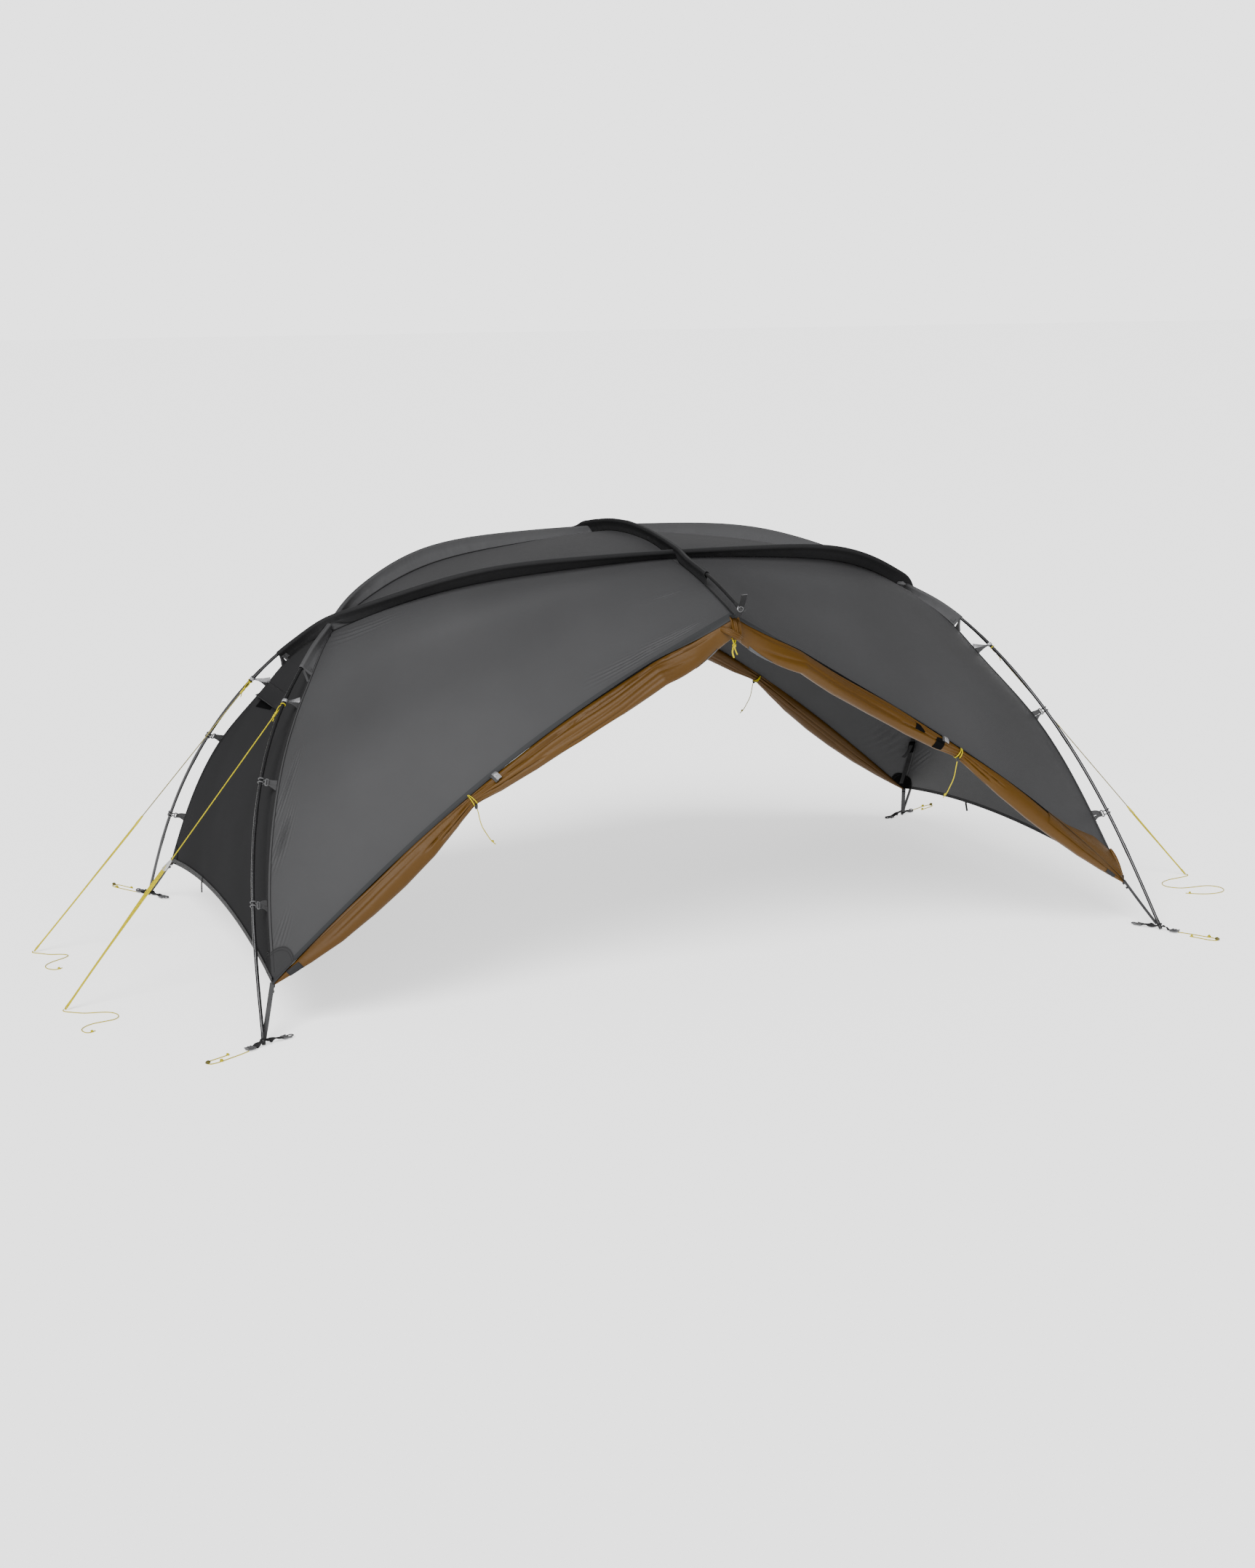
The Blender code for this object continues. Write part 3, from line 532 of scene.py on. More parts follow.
def bumped(look, *heights):
    # Heights are (socket, strength, distance in metres), one bump after another.
    before = {}
    for height, strength, distance in heights:
        bump = addNode(look.tree, "ShaderNodeBump", {
            "Height": height, "Strength": strength, "Distance": distance, **before})
        before = {"Normal": bump.outputs["Normal"]}
    look.tree.links.new(before["Normal"], look.shader.inputs["Normal"])
    return look.material


def clothMaterial(name, low, high, roughness, crinkle, size=9.0, threads=900.0, specular=0.05,
                  paintedTopTone=None):
    look = newLook(name, low, high, roughness, (2.4, 90.0), Specular_IOR_Level=specular)
    weave = place(look.tree, "weave", Vector=look.uv, Threads=threads)
    crease = place(look.tree, "crinkle", Vector=look.spot, Size=size)
    if paintedTopTone:
        # Painted light: up-facing cloth takes the given tone instead of its own colour; on the dark
        # sleeve this is a painted highlight along its top over the pole.
        slope = addNode(look.tree, "ShaderNodeSeparateXYZ", {
            0: look.tree.nodes.new("ShaderNodeNewGeometry").outputs["Normal"]})
        share = addNode(look.tree, "ShaderNodeMapRange", {
            "Value": slope.outputs["Z"], "From Min": 0.72, "From Max": 0.97})
        coloured(look.tree, look.shader, share.outputs["Result"], look.colour, paintedTopTone)
    return bumped(look, (crease["Height"], crinkle, 0.004), (weave["Height"], 0.25, 0.0002))


def poleMaterial():
    look = newLook("pole_anodised", (0.022, 0.022, 0.023), (0.034, 0.034, 0.036), (0.20, 0.36),
                   (7.0, 420.0), Metallic=0.85, Coat_Weight=0.3, Coat_Roughness=0.15)
    return bumped(look, (look.grain, 0.08, 0.0002))


def ferruleMaterial():
    return newLook("ferrule_silver", (0.34, 0.34, 0.35), (0.48, 0.48, 0.49), (0.22, 0.34),
                   (12.0, 500.0), Metallic=0.9).material


def plasticMaterial(name, low, high):
    look = newLook(name, low, high, (0.38, 0.52), (40.0, 900.0), Specular_IOR_Level=0.25)
    return bumped(look, (look.grain, 0.15, 0.0002))


def webbingMaterial(name, low, high, roughness=(0.55, 0.75), ribs=700.0, metallic=0.0):
    look = newLook(name, low, high, roughness, (18.0, 300.0), Metallic=metallic,
                   Specular_IOR_Level=0.08)
    rib = place(look.tree, "ribs", Vector=look.uv, Ribs=ribs)
    return bumped(look, (rib["Height"], 0.5, 0.0003))


def cordMaterial(name, low, high, fleck):
    look = newLook(name, low, high, (0.55, 0.75), (30.0, 600.0), Sheen_Weight=0.05,
                   Specular_IOR_Level=0.10)
    braid = place(look.tree, "braid", Vector=look.uv, Pitch=0.006)
    coloured(look.tree, look.shader, braid["Fleck"], look.colour, fleck)
    return bumped(look, (braid["Height"], 0.6, 0.0004))


def greys(low, high, tint=(1.0, 1.0, 1.03)):
    return tuple(low * c for c in tint), tuple(high * c for c in tint)


finishes = {
    "canopy": clothMaterial("canopy_cloth", *greys(0.0365, 0.0430), (0.40, 0.50), 0.05, 5.0,
                            specular=0.08),
    # Painted shade: the end walls' outside is the canopy cloth made darker, for the shade the end
    # walls stand in; inside they are lined with the canopy cloth.
    "end": clothMaterial("end_cloth_painted_shade", *greys(0.0195, 0.0225), (0.50, 0.62), 0.05, 5.0,
                         specular=0.0),
    # The dark sleeve cloth turns lighter where it faces up, a painted highlight along the sleeve's
    # top.
    "sleeve": clothMaterial("sleeve_cloth", *greys(0.0160, 0.0195), (0.45, 0.62), 0.20, 14.0,
                            specular=0.0, paintedTopTone=(0.040, 0.040, 0.041)),
    # Grey sleeve cloth with painted light: set well above the canopy cloth's tone so that the fin
    # under the tube reads lit instead of shaded; where it faces up it takes a tone near the
    # canopy's.
    "paleSleevePaintedLight": clothMaterial("pale_sleeve_cloth_painted_light", *greys(0.055, 0.062), (0.45, 0.62), 0.20,
                                14.0, specular=0.0, paintedTopTone=(0.038, 0.038, 0.039)),
    "door": clothMaterial("door_cloth", (0.054, 0.0232, 0.0008), (0.068, 0.0308, 0.0020),
                          (0.38, 0.48), 0.01, 4.0, specular=0.18),
    "tape": clothMaterial("binding_tape", (0.0260, 0.0268, 0.0278), (0.0330, 0.0338, 0.0350),
                          (0.50, 0.65), 0.05, threads=700.0),
    "piping": clothMaterial("dark_piping", *greys(0.012, 0.019), (0.50, 0.65), 0.05,
                            threads=700.0),
    "doubled": clothMaterial("doubled_cloth", *greys(0.0250, 0.0300), (0.40, 0.55), 0.10,
                             threads=800.0),
    "patch": clothMaterial("corner_patch", *greys(0.0185, 0.0235), (0.38, 0.55), 0.10,
                           threads=800.0),
    "black": clothMaterial("black_patch", *greys(0.0035, 0.0050), (0.50, 0.62), 0.05,
                           threads=800.0, specular=0.0),
    "liner": clothMaterial("grey_liner", *greys(0.060, 0.080), (0.40, 0.55), 0.20,
                           threads=800.0),
    "pole": poleMaterial(),
    "ferrule": ferruleMaterial(),
    "plastic": plasticMaterial("dark_plastic", *greys(0.012, 0.018)),
    "greyPlastic": plasticMaterial("grey_plastic", *greys(0.060, 0.085)),
    "palePlastic": plasticMaterial("pale_plastic", *greys(0.34, 0.42, (1, 1, 0.98))),
    "yellowPlastic": plasticMaterial("yellow_plastic", (0.42, 0.345, 0.0), (0.52, 0.430, 0.001)),
    "olivePlastic": plasticMaterial("olive_plastic", (0.060, 0.050, 0.006), (0.085, 0.072, 0.01)),
    "webbing": webbingMaterial("dark_webbing", *greys(0.012, 0.019)),
    "greyWebbing": webbingMaterial("grey_webbing", *greys(0.038, 0.056)),
    "reflective": webbingMaterial("reflective_tape", *greys(0.24, 0.38), (0.22, 0.34), 1100.0,
                                  0.55),
    "cord": cordMaterial("yellow_cord", (0.37, 0.305, 0.0), (0.48, 0.400, 0.0005),
                         (0.33, 0.275, 0.008)),
    "paleCord": cordMaterial("pale_cord", (0.16, 0.135, 0.030), (0.22, 0.190, 0.050),
                             (0.30, 0.28, 0.18)),
}
print("materials made")


# Camera
cameraSetup = {"spot": (-2.399, -6.319, 1.841), "azimuth": -20.662, "elevation": 12.247,
               "roll": -0.967, "lens": 56.13}


def makeCamera(setup):
    az, el, roll = [math.radians(setup[key]) for key in ("azimuth", "elevation", "roll")]
    back = np.array((math.sin(az) * math.cos(el), -math.cos(az) * math.cos(el), math.sin(el)))
    right = unit(np.cross(-back, (0, 0, 1)))
    top = np.cross(right, -back)
    side = math.cos(roll) * right + math.sin(roll) * top
    up = -math.sin(roll) * right + math.cos(roll) * top
    data = bpy.data.cameras.new("camera")
    data.lens = setup["lens"]
    data.sensor_width = 36.0
    data.clip_end = 60.0
    camera = newObject("camera", data)
    camera.matrix_world = frameMatrix(side, up, back, setup["spot"])
    bpy.context.scene.camera = camera


makeCamera(cameraSetup)
print("camera set")


# Loose cords, on the routes of their solids
cordSetup = {
    "radius": 0.0013, "lie": 0.0015, "anchor": (1.650, 0.288), "anchorGap": 0.0005,
    "tails": {
        "near_left": [(0.012, -0.030), (0.045, -0.052), (0.095, -0.066), (0.115, -0.090),
                      (0.108, -0.128), (0.078, -0.140), (0.046, -0.148), (0.022, -0.168),
                      (0.014, -0.196), (0.026, -0.216), (0.044, -0.206)],
        "far_left": [(0.012, -0.028), (0.036, -0.050), (0.066, -0.062), (0.080, -0.078),
                     (0.066, -0.100), (0.036, -0.122), (0.012, -0.150), (0.010, -0.184),
                     (0.030, -0.204), (0.048, -0.194)],
        "near_right": [(-0.036, -0.026), (-0.084, -0.036), (-0.118, -0.058),
                       (-0.130, -0.096), (-0.104, -0.130), (-0.050, -0.136),
                       (-0.008, -0.146), (0.006, -0.176), (-0.012, -0.212),
                       (-0.054, -0.222), (-0.096, -0.206), (-0.122, -0.186)],
        "far_right": [(-0.014, 0.030), (-0.046, 0.052), (-0.092, 0.064), (-0.114, 0.088),
                      (-0.104, 0.122), (-0.072, 0.136), (-0.038, 0.150), (-0.018, 0.178)],
    },
    "headings": {"near_left": (-0.88, -0.47), "far_left": (-0.45, 0.89),
                 "near_right": (0.45, -0.89), "far_right": (0.88, 0.47)},
    "pegLoop": [(0.0506, 0.005), (0.080, 0.009), (0.120, 0.0115), (0.162, 0.0115),
                (0.1694, 0.0084), (0.1725, 0.001), (0.1694, -0.0064), (0.162, -0.0095),
                (0.130, -0.0112), (0.096, -0.012)],
    "tieFall": [(0, 0), (0.004, -0.016), (0.008, -0.036), (0.014, -0.056), (0.024, -0.074),
                (0.034, -0.090), (0.046, -0.102)],
    "apexTop": (0.727, 0.908),
    "apexFall": [(0, 0), (0.0, -0.016), (0.002, -0.032), (-0.002, -0.050), (0.002, -0.066)],
}
rollSetup = {
    "stations": [(0.004, 0.0035, 0.0030), (0.030, 0.0090, 0.0070), (0.07, 0.0170, 0.0115),
                 (0.13, 0.026, 0.016),
                 (0.20, 0.030, 0.019), (0.27, 0.031, 0.020), (0.34, 0.029, 0.018),
                 (0.400, 0.022, 0.014), (0.435, 0.015, 0.012), (0.450, 0.013, 0.0115),
                 (0.465, 0.015, 0.012), (0.50, 0.023, 0.015), (0.57, 0.031, 0.018),
                 (0.66, 0.037, 0.020), (0.75, 0.040, 0.021), (0.84, 0.039, 0.021),
                 (0.92, 0.035, 0.020), (0.965, 0.031, 0.018), (0.9975, 0.028, 0.014)],
    "tieAt": 0.450, "gap": 0.0006, "shell": 0.0020,
}


def cordPiece(name, line, radius, lay, *extras):
    piece = finishPiece(tubePiece(name + "_cord", line, radius, "cord", 10), "cord_yellow", name)


def endKnot(name, line, back=0.006, size=0.0030):
    spot = atShares(line, 1 - back / runLength(line)[-1]) + (0, 0, 0.0012)
    knot = knotPiece(name, spot, line[-1] - line[-6], size, cordSetup["radius"], "cord")
    return finishPiece(knot, "cord_yellow")


def footFrame(label, height):
    # Middle of a foot at a height, then the way its strap pulls, the way across it and up.
    (end, side), (x, y, _) = legs[label], tent["legPole"][0]
    out = unit((*cordSetup["headings"][label], 0.0))
    return (np.array((x * end, y * side, height)),
            np.array((out, (-out[1], out[0], 0.0), (0.0, 0.0, 1.0))))


def groundCords():
    setup, radius = cordSetup, cordSetup["radius"]
    for label, (end, side) in legs.items():
        base = np.array((setup["anchor"][0] * end, setup["anchor"][1] * side, setup["lie"]))
        out = unit((end, 0.15 * side, 0.0))
        route = np.array([(x, y, 0.0) for x, y in setup["tails"][label]])
        line = evenLine([base + out * (2 * radius + setup["anchorGap"]),
                         base + out * 0.007 + unit(route[0]) * 0.004, *(base + route)], 90)
        name = "guy_tail_" + label
        cordPiece(name, line, radius, "loose", endKnot(name + "_knot", line, 0.012))
        foot, axes = footFrame(label, setup["lie"])
        line = evenLine(inFrame(foot, axes[:2], setup["pegLoop"]), 70)
        name = "peg_loop_" + label
        knot = finishPiece(knotPiece(name + "_knot", atShares(line, 0.43), axes[0], 0.0040,
                                     radius, "cord"), "cord_yellow")
        last = endKnot(name + "_end", line)
        stop = inFrame(foot, axes, [(0.166 + 0.003 * k, 0.001, 0.0036) for k in range(5)])
        stop = finishPiece(tubePiece(name + "_stop", stop, [0.0028, 0.0042, 0.0048, 0.0040, 0.0026],
                                     "olivePlastic", 14), "cord_yellow")
        cordPiece(name, line, radius, "loose", knot, last, stop)


groundCords()
print("ground cords laid")


# Canopy surface
canopySetup = {
    "across": [(0.0, 0), (0.07, 42), (0.30, 40), (0.72, 36), (1.0, 52)],
    "down": [(0.0, 0), (0.15, 40), (0.42, 18), (0.78, 80), (1.0, 56)],
    "roofAcross": 24, "endAcross": 88, "thickness": 0.0006, "hemRise": 0.048, "hemDraw": 0.010,
}


def stepped(spans):
    # Shares from 0 to 1, with a number of steps up to each given share.
    out = [0.0]
    for (low, _), (high, count) in zip(spans, spans[1:]):
        out += list(np.linspace(low, high, count + 1)[1:])
    return np.array(out)


uShares = stepped(canopySetup["across"])
vShares = stepped(canopySetup["down"])
arcSeam = atShares(seamHalf[crossAt:] * (1, -1, 1), uShares)
legSeam = atShares(seamHalf[crossAt::-1], vShares)
outerRidge = atShares(ridgeSeam[roofEnd:], vShares)
lowerEdge = atShares(doorEdge, uShares)

# Creases in a quarter wall: where (u, v), angle from the u way, wave, spread across, reach
creaseSets = {
    "near_left": [(0.115, 0.070, 4, 0.0150, 0.022, 0.110, 0.0016),
                  (0.80, 0.900, 5, 0.0150, 0.026, 0.075, 0.0013),
                  (0.885, 0.895, 7, 0.0140, 0.026, 0.070, 0.0013),
                  (0.92, 0.52, 8, 0.0140, 0.018, 0.050, 0.0009),
                  (0.032, 0.520, -69, 0.0105, 0.016, 0.060, 0.0019),
                  (0.034, 0.665, -63, 0.0105, 0.018, 0.042, 0.0021),
                  (0.030, 0.905, -48, 0.0110, 0.020, 0.030, 0.0008),
                  (0.016, 0.33, 15, 0.0120, 0.022, 0.022, 0.0010)],
    "near_right": [(0.135, 0.075, 7, 0.0115, 0.020, 0.095, 0.0022),
                   (0.86, 0.92, 7, 0.0140, 0.022, 0.060, 0.0007),
                   (0.034, 0.66, -64, 0.0110, 0.018, 0.050, 0.0008)],
    "far_left": [(0.12, 0.070, 4, 0.0150, 0.022, 0.090, 0.0014),
                 (0.84, 0.90, 8, 0.0150, 0.028, 0.075, 0.0013),
                 (0.034, 0.64, -64, 0.0110, 0.018, 0.050, 0.0010)],
    "far_right": [(0.12, 0.070, 4, 0.0150, 0.022, 0.090, 0.0014),
                  (0.90, 0.93, 8, 0.0150, 0.024, 0.065, 0.0012),
                  (0.085, 0.84, 58, 0.0190, 0.045, 0.085, 0.0026),
                  (0.034, 0.64, -64, 0.0110, 0.018, 0.050, 0.0010)],
}


def coonsWall():
    rows = []
    for j, v in enumerate(vShares):
        u = uShares[:, None]
        edges = ((1 - v) * arcSeam + v * lowerEdge + (1 - u) * legSeam[j] + u * outerRidge[j])
        corners = ((1 - u) * (1 - v) * arcSeam[0] + u * (1 - v) * arcSeam[-1]
                   + (1 - u) * v * lowerEdge[0] + u * v * lowerEdge[-1])
        rows.append(edges - corners)
    return np.array(rows)


def surfaceNormals(grid):
    normal = np.cross(np.gradient(grid, axis=1), np.gradient(grid, axis=0))
    return normal / np.maximum(np.linalg.norm(normal, axis=2, keepdims=True), 1e-12)


def outNormals(grid, axis):
    # Normals of a wall, on the side away from the tent.
    normals = surfaceNormals(grid)
    return normals * np.sign(normals[..., axis].mean())


def creased(grid, sets, us, vs):
    # Waves in small packets, which die out at the panel's edges.
    size = (np.linalg.norm(np.diff(grid, axis=1), axis=2).sum(1).mean(),
            np.linalg.norm(np.diff(grid, axis=0), axis=2).sum(0).mean())
    x, y = np.meshgrid(us * size[0], vs * size[1])
    rise = np.zeros_like(x)
    for u, v, angle, wave, spread, reach, depth in sets:
        a = math.radians(angle)
        dx, dy = x - u * size[0], y - v * size[1]
        along, perp = dx * math.cos(a) + dy * math.sin(a), -dx * math.sin(a) + dy * math.cos(a)
        bent = perp + along ** 2 / (reach * 18) + 0.10 * perp * along / reach
        rise += depth * np.sin(2 * math.pi * bent / wave) * bell(bent, spread) * bell(along, reach)
    edge = np.minimum(np.minimum(x, size[0] - x), np.minimum(y, size[1] - y))
    return grid + surfaceNormals(grid) * (rise * np.clip(edge / 0.012, 0, 1))[..., None]


quarterWall = coonsWall()
wallNormal = outNormals(quarterWall, 1)
walls = {label: creased(quarterWall, creaseSets[label], uShares, vShares) for label in legs}


def roofHalf():
    # Right half of the roof between the arcs, crossing first and the ridge line last.
    spots = atShares(ridgeSeam[:roofEnd + 1], np.linspace(0, 1, canopySetup["roofAcross"] // 2 + 1))
    spots = np.vstack([spots[:0:-1] * (1, -1, 1), spots])
    (_, reach, top), far = ridgeSeam[roofEnd], tent["crossSeam"][0]
    rows = []
    for x, y, z in arcSeam:
        crown = max(1.0 - x / far, 0.0) ** 1.3
        rows.append([(x, spot[1] * abs(y) / reach, z + (spot[2] - top) * crown) for spot in spots])
    return np.array(rows)


endShares = np.sin(np.linspace(-1, 1, canopySetup["endAcross"] + 1) * math.pi / 2)
endCreases = [(0.080, 0.84, -46, 0.0160, 0.028, 0.070, 0.0015),
              (0.920, 0.84, -134, 0.0160, 0.028, 0.070, 0.0015),
              (0.060, 0.55, -70, 0.0150, 0.020, 0.050, 0.0009)]


def endHalf():
    bow = (1 - endShares ** 2) * (vShares ** 3)[:, None]
    grid = np.stack([legSeam[:, :1] - canopySetup["hemDraw"] * bow, legSeam[:, 1:2] * endShares,
                     legSeam[:, 2:] + canopySetup["hemRise"] * bow], axis=2)
    return creased(grid, endCreases, (endShares + 1) / 2, vShares)


endWall = endHalf()
endNormal = outNormals(endWall, 0)


def clothPanels(name, panels, *replaced):
    # Panels are (grid, outward, material), welded along their shared edges; gives the area.
    points, faces, uvs, used, numbers = [], [], [], [], []
    for grid, outward, finish in panels:
        more, quads, corner = gridParts(facing(grid, outward))
        faces += [tuple(k + len(points) for k in quad) for quad in quads]
        points += list(more)
        used += [finish] if finish not in used else []
        numbers += [used.index(finish)] * len(quads)
        uvs += corner
    obj = meshPiece(name, points, faces, used[0], uvs, 180)
    # Several cloths are all lined with the first one.
    inner = used[:1] * len(used) if len(used) > 1 else []
    for finish in used[1:] + inner:
        obj.data.materials.append(finishes[finish])
    obj.data.polygons.foreach_set("material_index", numbers)
    mended(obj, 0.0002, False)
    obj.data.set_sharp_from_angle(angle=math.radians(24))
    area = round(sum(face.area for face in obj.data.polygons), 3)
    thicken(obj, canopySetup["thickness"], -1.0).material_offset = len(inner)
    print(name, area)
    return finishPiece(obj, "canopy_fabric", *replaced), area


def onGrid(sources, us, u, v, lift):
    # Point of a sheet of cloth, lifted off it.
    j, i = np.interp(v, vShares, np.arange(len(vShares))), np.interp(u, us, np.arange(len(us)))
    j0, i0 = min(int(j), len(vShares) - 2), min(int(i), len(us) - 2)
    parts = np.outer((1 - j + j0, j - j0), (1 - i + i0, i - i0))[..., None]
    spot, normal = [(source[j0:j0 + 2, i0:i0 + 2] * parts).sum((0, 1)) for source in sources]
    return spot + unit(normal) * lift


def onWall(label, u, v, lift=0.0):
    # On a wall in its own quarter; u along the door edge, v down it.
    return onGrid((walls[label], wallNormal), uShares, u, v, lift)


def onEnd(s, v, lift=0.0):
    # On the right end wall; s from -1 near to 1 far.
    return onGrid((endWall, endNormal), endShares, s, v, lift)


def canopyPieces():
    for label, (end, side) in legs.items():
        piece, area = clothPanels("wall_%s_cloth" % label, [
            (walls[label] * (end, side, 1), (0.1 * end, side, 0.6), "canopy")], "wall_" + label)
    panels = []
    for end in (-1, 1):
        # The end walls take the darker end cloth, painted shade.
        panels += [(roofHalf() * (end, 1, 1), (0, 0, 1), "canopy"),
                   (endWall * (end, 1, 1), (end, 0, 0.3), "end")]
    piece, area = clothPanels("canopy", panels, "roof_left", "roof_right", "end_wall_left",
                              "end_wall_right")


canopyPieces()
print("canopy made")


# Poles, with a joint every so often and a tip at each end
poleSetup = {"section": 0.365, "ferrule": 0.052, "ferruleGrow": 0.00045, "tipLength": 0.030,
             "sides": 20}


def longPoleLine(side):
    inward = unit((poleHalf[crossAt + 1] - poleHalf[crossAt - 1])[[2, 1, 0]] * (1, 0, -1))
    lift = inward * np.sign(inward[2]) * tent["crossLift"] * -side
    reach = np.linalg.norm(poleHalf - tent["crossPole"], axis=1)
    return bothHalves((poleHalf + lift * bell(reach, tent["crossReach"])[:, None]) * (1, -side, 1))


def poleParts(name, line):
    setup, radius, total = poleSetup, tent["poleRadius"], runLength(line)[-1]
    parts = Parts()
    parts.tube(line, radius, "pole", setup["sides"])
    joints = int(total / setup["section"])
    first = (total - (joints - 1) * setup["section"]) / 2
    for k in range(joints):
        spot = first + k * setup["section"]
        shares = np.linspace(spot - setup["ferrule"] / 2, spot + setup["ferrule"] / 2, 6) / total
        grow = setup["ferruleGrow"] * np.array([0.2, 1, 1, 1, 1, 0.2])
        parts.tube(atShares(line, shares), radius + grow, "pole", setup["sides"])
    tip = setup["tipLength"] / total
    for shares in ((0, tip), (1 - tip, 1)):
        grow = np.array([0.0003, 0.0007, 0.0007, 0.0007, 0.0004])
        parts.tube(atShares(line, np.linspace(*shares, 5)), radius + grow, "plastic",
                   setup["sides"])
    parts.piece(name + "_pole", "pole_alloy", name)


ridgeLine = np.vstack([ridgePole[:0:-1] * (1, -1, 1), ridgePole])
for name, line in (("long_pole_over", longPoleLine(-1)), ("long_pole_under", longPoleLine(1)),
                   ("ridge_pole", ridgeLine)):
    poleParts(name, line)
print("poles made")


# Pole sleeves
sleeveSetup = {"radius": 0.0064, "gap": 0.0006, "knee": 0.0135, "thickness": 0.0005,
               "short": 0.0105, "rows": 300, "ridgeRows": 170, "ridgeStop": 0.558,
               "start": 4 * spanSteps, "seeds": {"near": 11, "far": 12, "ridge": 13}}


def sleeveSection(depth):
    # Round the pole and down to the seam on both sides; the last value is how far down.
    setup = sleeveSetup
    r, gap, knee = setup["radius"], setup["gap"], min(setup["knee"], depth - 0.0008)
    turnOff = math.acos(min(r / max(knee, r + 0.0003), 0.98))
    left = [(-gap, depth - (depth - knee) * t, 1 - t) for t in (0, 0.15, 0.35, 0.6, 0.8, 1.0)]
    arc = [(r * math.sin(t), r * math.cos(t), 0.0)
           for t in np.linspace(-turnOff, -2 * math.pi + turnOff, 16)]
    return left + arc + [(gap, b, low) for a, b, low in left[::-1]]


def sleevePiece(label, line, fins, rows, pucker, finish="sleeve"):
    # Fins are the ways from the pole line to the seam at each point.
    shares = np.linspace(0, 1, rows)
    run = runLength(line)
    line, fins = atShares(line, shares), mixAt(shares, run / run[-1], fins)
    rng = np.random.default_rng(sleeveSetup["seeds"][label])
    run = runLength(line)
    total = run[-1]
    strokes = [(rng.uniform(0, total), rng.uniform(0.003, 0.008), rng.uniform(-1, 1),
                rng.uniform(-0.5, 0.5)) for k in range(int(total / 0.020))]
    knee = sleeveSetup["knee"]
    rings = []
    for point, w, fin, at in zip(line, ways(line), fins, run):
        down = fin - w * np.dot(fin, w)
        depth = np.linalg.norm(down)
        ring = []
        for a, b, low in sleeveSection(depth):
            push = 0.0
            if low > 0:
                share = (b - knee) / max(depth - knee, 0.004)
                for spot, width, size, lean in strokes:
                    off = at + lean * b - spot
                    if abs(off) < 3 * width:
                        push += size * math.exp(-(off / width) ** 2)
                push *= pucker * math.sin(math.pi * min(max(share, 0.0), 1.0))
            ring.append((a + push, b))
        rings.append(inFrame(point, (np.cross(w, down / depth), down / depth), ring))
    name = "sleeve_" + label
    obj = gridPiece(name + "_cloth", rings, finish, (0, 0, 1), sleeveSetup["thickness"])
    finishPiece(obj, "sleeve_fabric", name)


def longSleeve(label, side, finish):
    line, seam = [whole[sleeveSetup["start"]:-sleeveSetup["start"]]
                  for whole in (longPoleLine(side), bothHalves(seamHalf * (1, -side, 1)))]
    fins = seam - line
    if side < 0:
        for end in (1, -1):
            # Over the other pole the sleeve is short and stands square to its pole.
            near = bell(np.linalg.norm(line - (0.860 * end, 0, 0.899), axis=1), 0.045)[:, None]
            size = np.linalg.norm(fins, axis=1)[:, None]
            out = -np.cross(ways(line), np.cross((0, 0, 1), ways(line)))
            mixed = fins / size * (1 - near) + out * near
            want = size * (1 - near) + sleeveSetup["short"] * near
            fins = mixed / np.linalg.norm(mixed, axis=1)[:, None] * want
    sleevePiece(label, line, fins, sleeveSetup["rows"], 0.0022, finish)


def ridgeSleeve():
    line = ridgeLine[np.abs(ridgeLine[:, 1]) <= sleeveSetup["ridgeStop"] + 1e-6]
    across = np.abs(line[:, 1])
    near = bell(across - 0.331, 0.032)
    deep = (line[:, 2] - np.interp(across, ridgeSeam[:, 1], ridgeSeam[:, 2])) * (1 - near) \
        + sleeveSetup["short"] * near
    sleevePiece("ridge", line, deep[:, None] * (0, 0, -1),
                sleeveSetup["ridgeRows"], 0.0012)


longSleeve("near", -1, "sleeve")
# The far sleeve takes the grey sleeve cloth with its painted light.
longSleeve("far", 1, "paleSleevePaintedLight")
ridgeSleeve()
print("sleeves made")


def crossingPieces():
    # Cloth between the short upper sleeve and the seam on both sides of each pole crossing.
    line, seam = longPoleLine(-1), bothHalves(seamHalf)
    for end, label in ((-1, "left"), (1, "right")):
        away = np.linalg.norm(line - (0.860 * end, 0, 0.903), axis=1)
        nearest = int(np.argmin(away))
        parts = []
        for step in (1, -1):
            picks = [k for k in range(nearest, nearest + step * 26, step)
                     if 0.0045 < away[k] < 0.120]
            low = seam[picks]
            top = np.array([line[k] + unit(seam[k] - line[k]) * 0.0070 for k in picks])
            rows = [top * (1 - t) + low * t for t in np.linspace(0, 1, 7)]
            # The gussets take the grey sleeve cloth with its painted light.
            parts += [gridPiece("gusset", rows, "paleSleevePaintedLight", None, 0.0006, -1.0),
                      tubePiece("seam", top * 0.35 + low * 0.65, 0.0007, "piping", 6)]
        for k, part in enumerate(parts):
            part.name = "crossing_%s_%d" % (label, k)
            finishPiece(part, "sleeve_fabric")


crossingPieces()


def seamPlace(i):
    # Pole and seam points at a step up the leg, the pole's way, the way to the seam and across.
    pole, seam = poleHalf[i], seamHalf[i]
    way = unit(poleHalf[i + 1] - poleHalf[i - 1])
    out = squareTo(way, seam - pole)
    return pole, seam, way, out, np.cross(way, out)


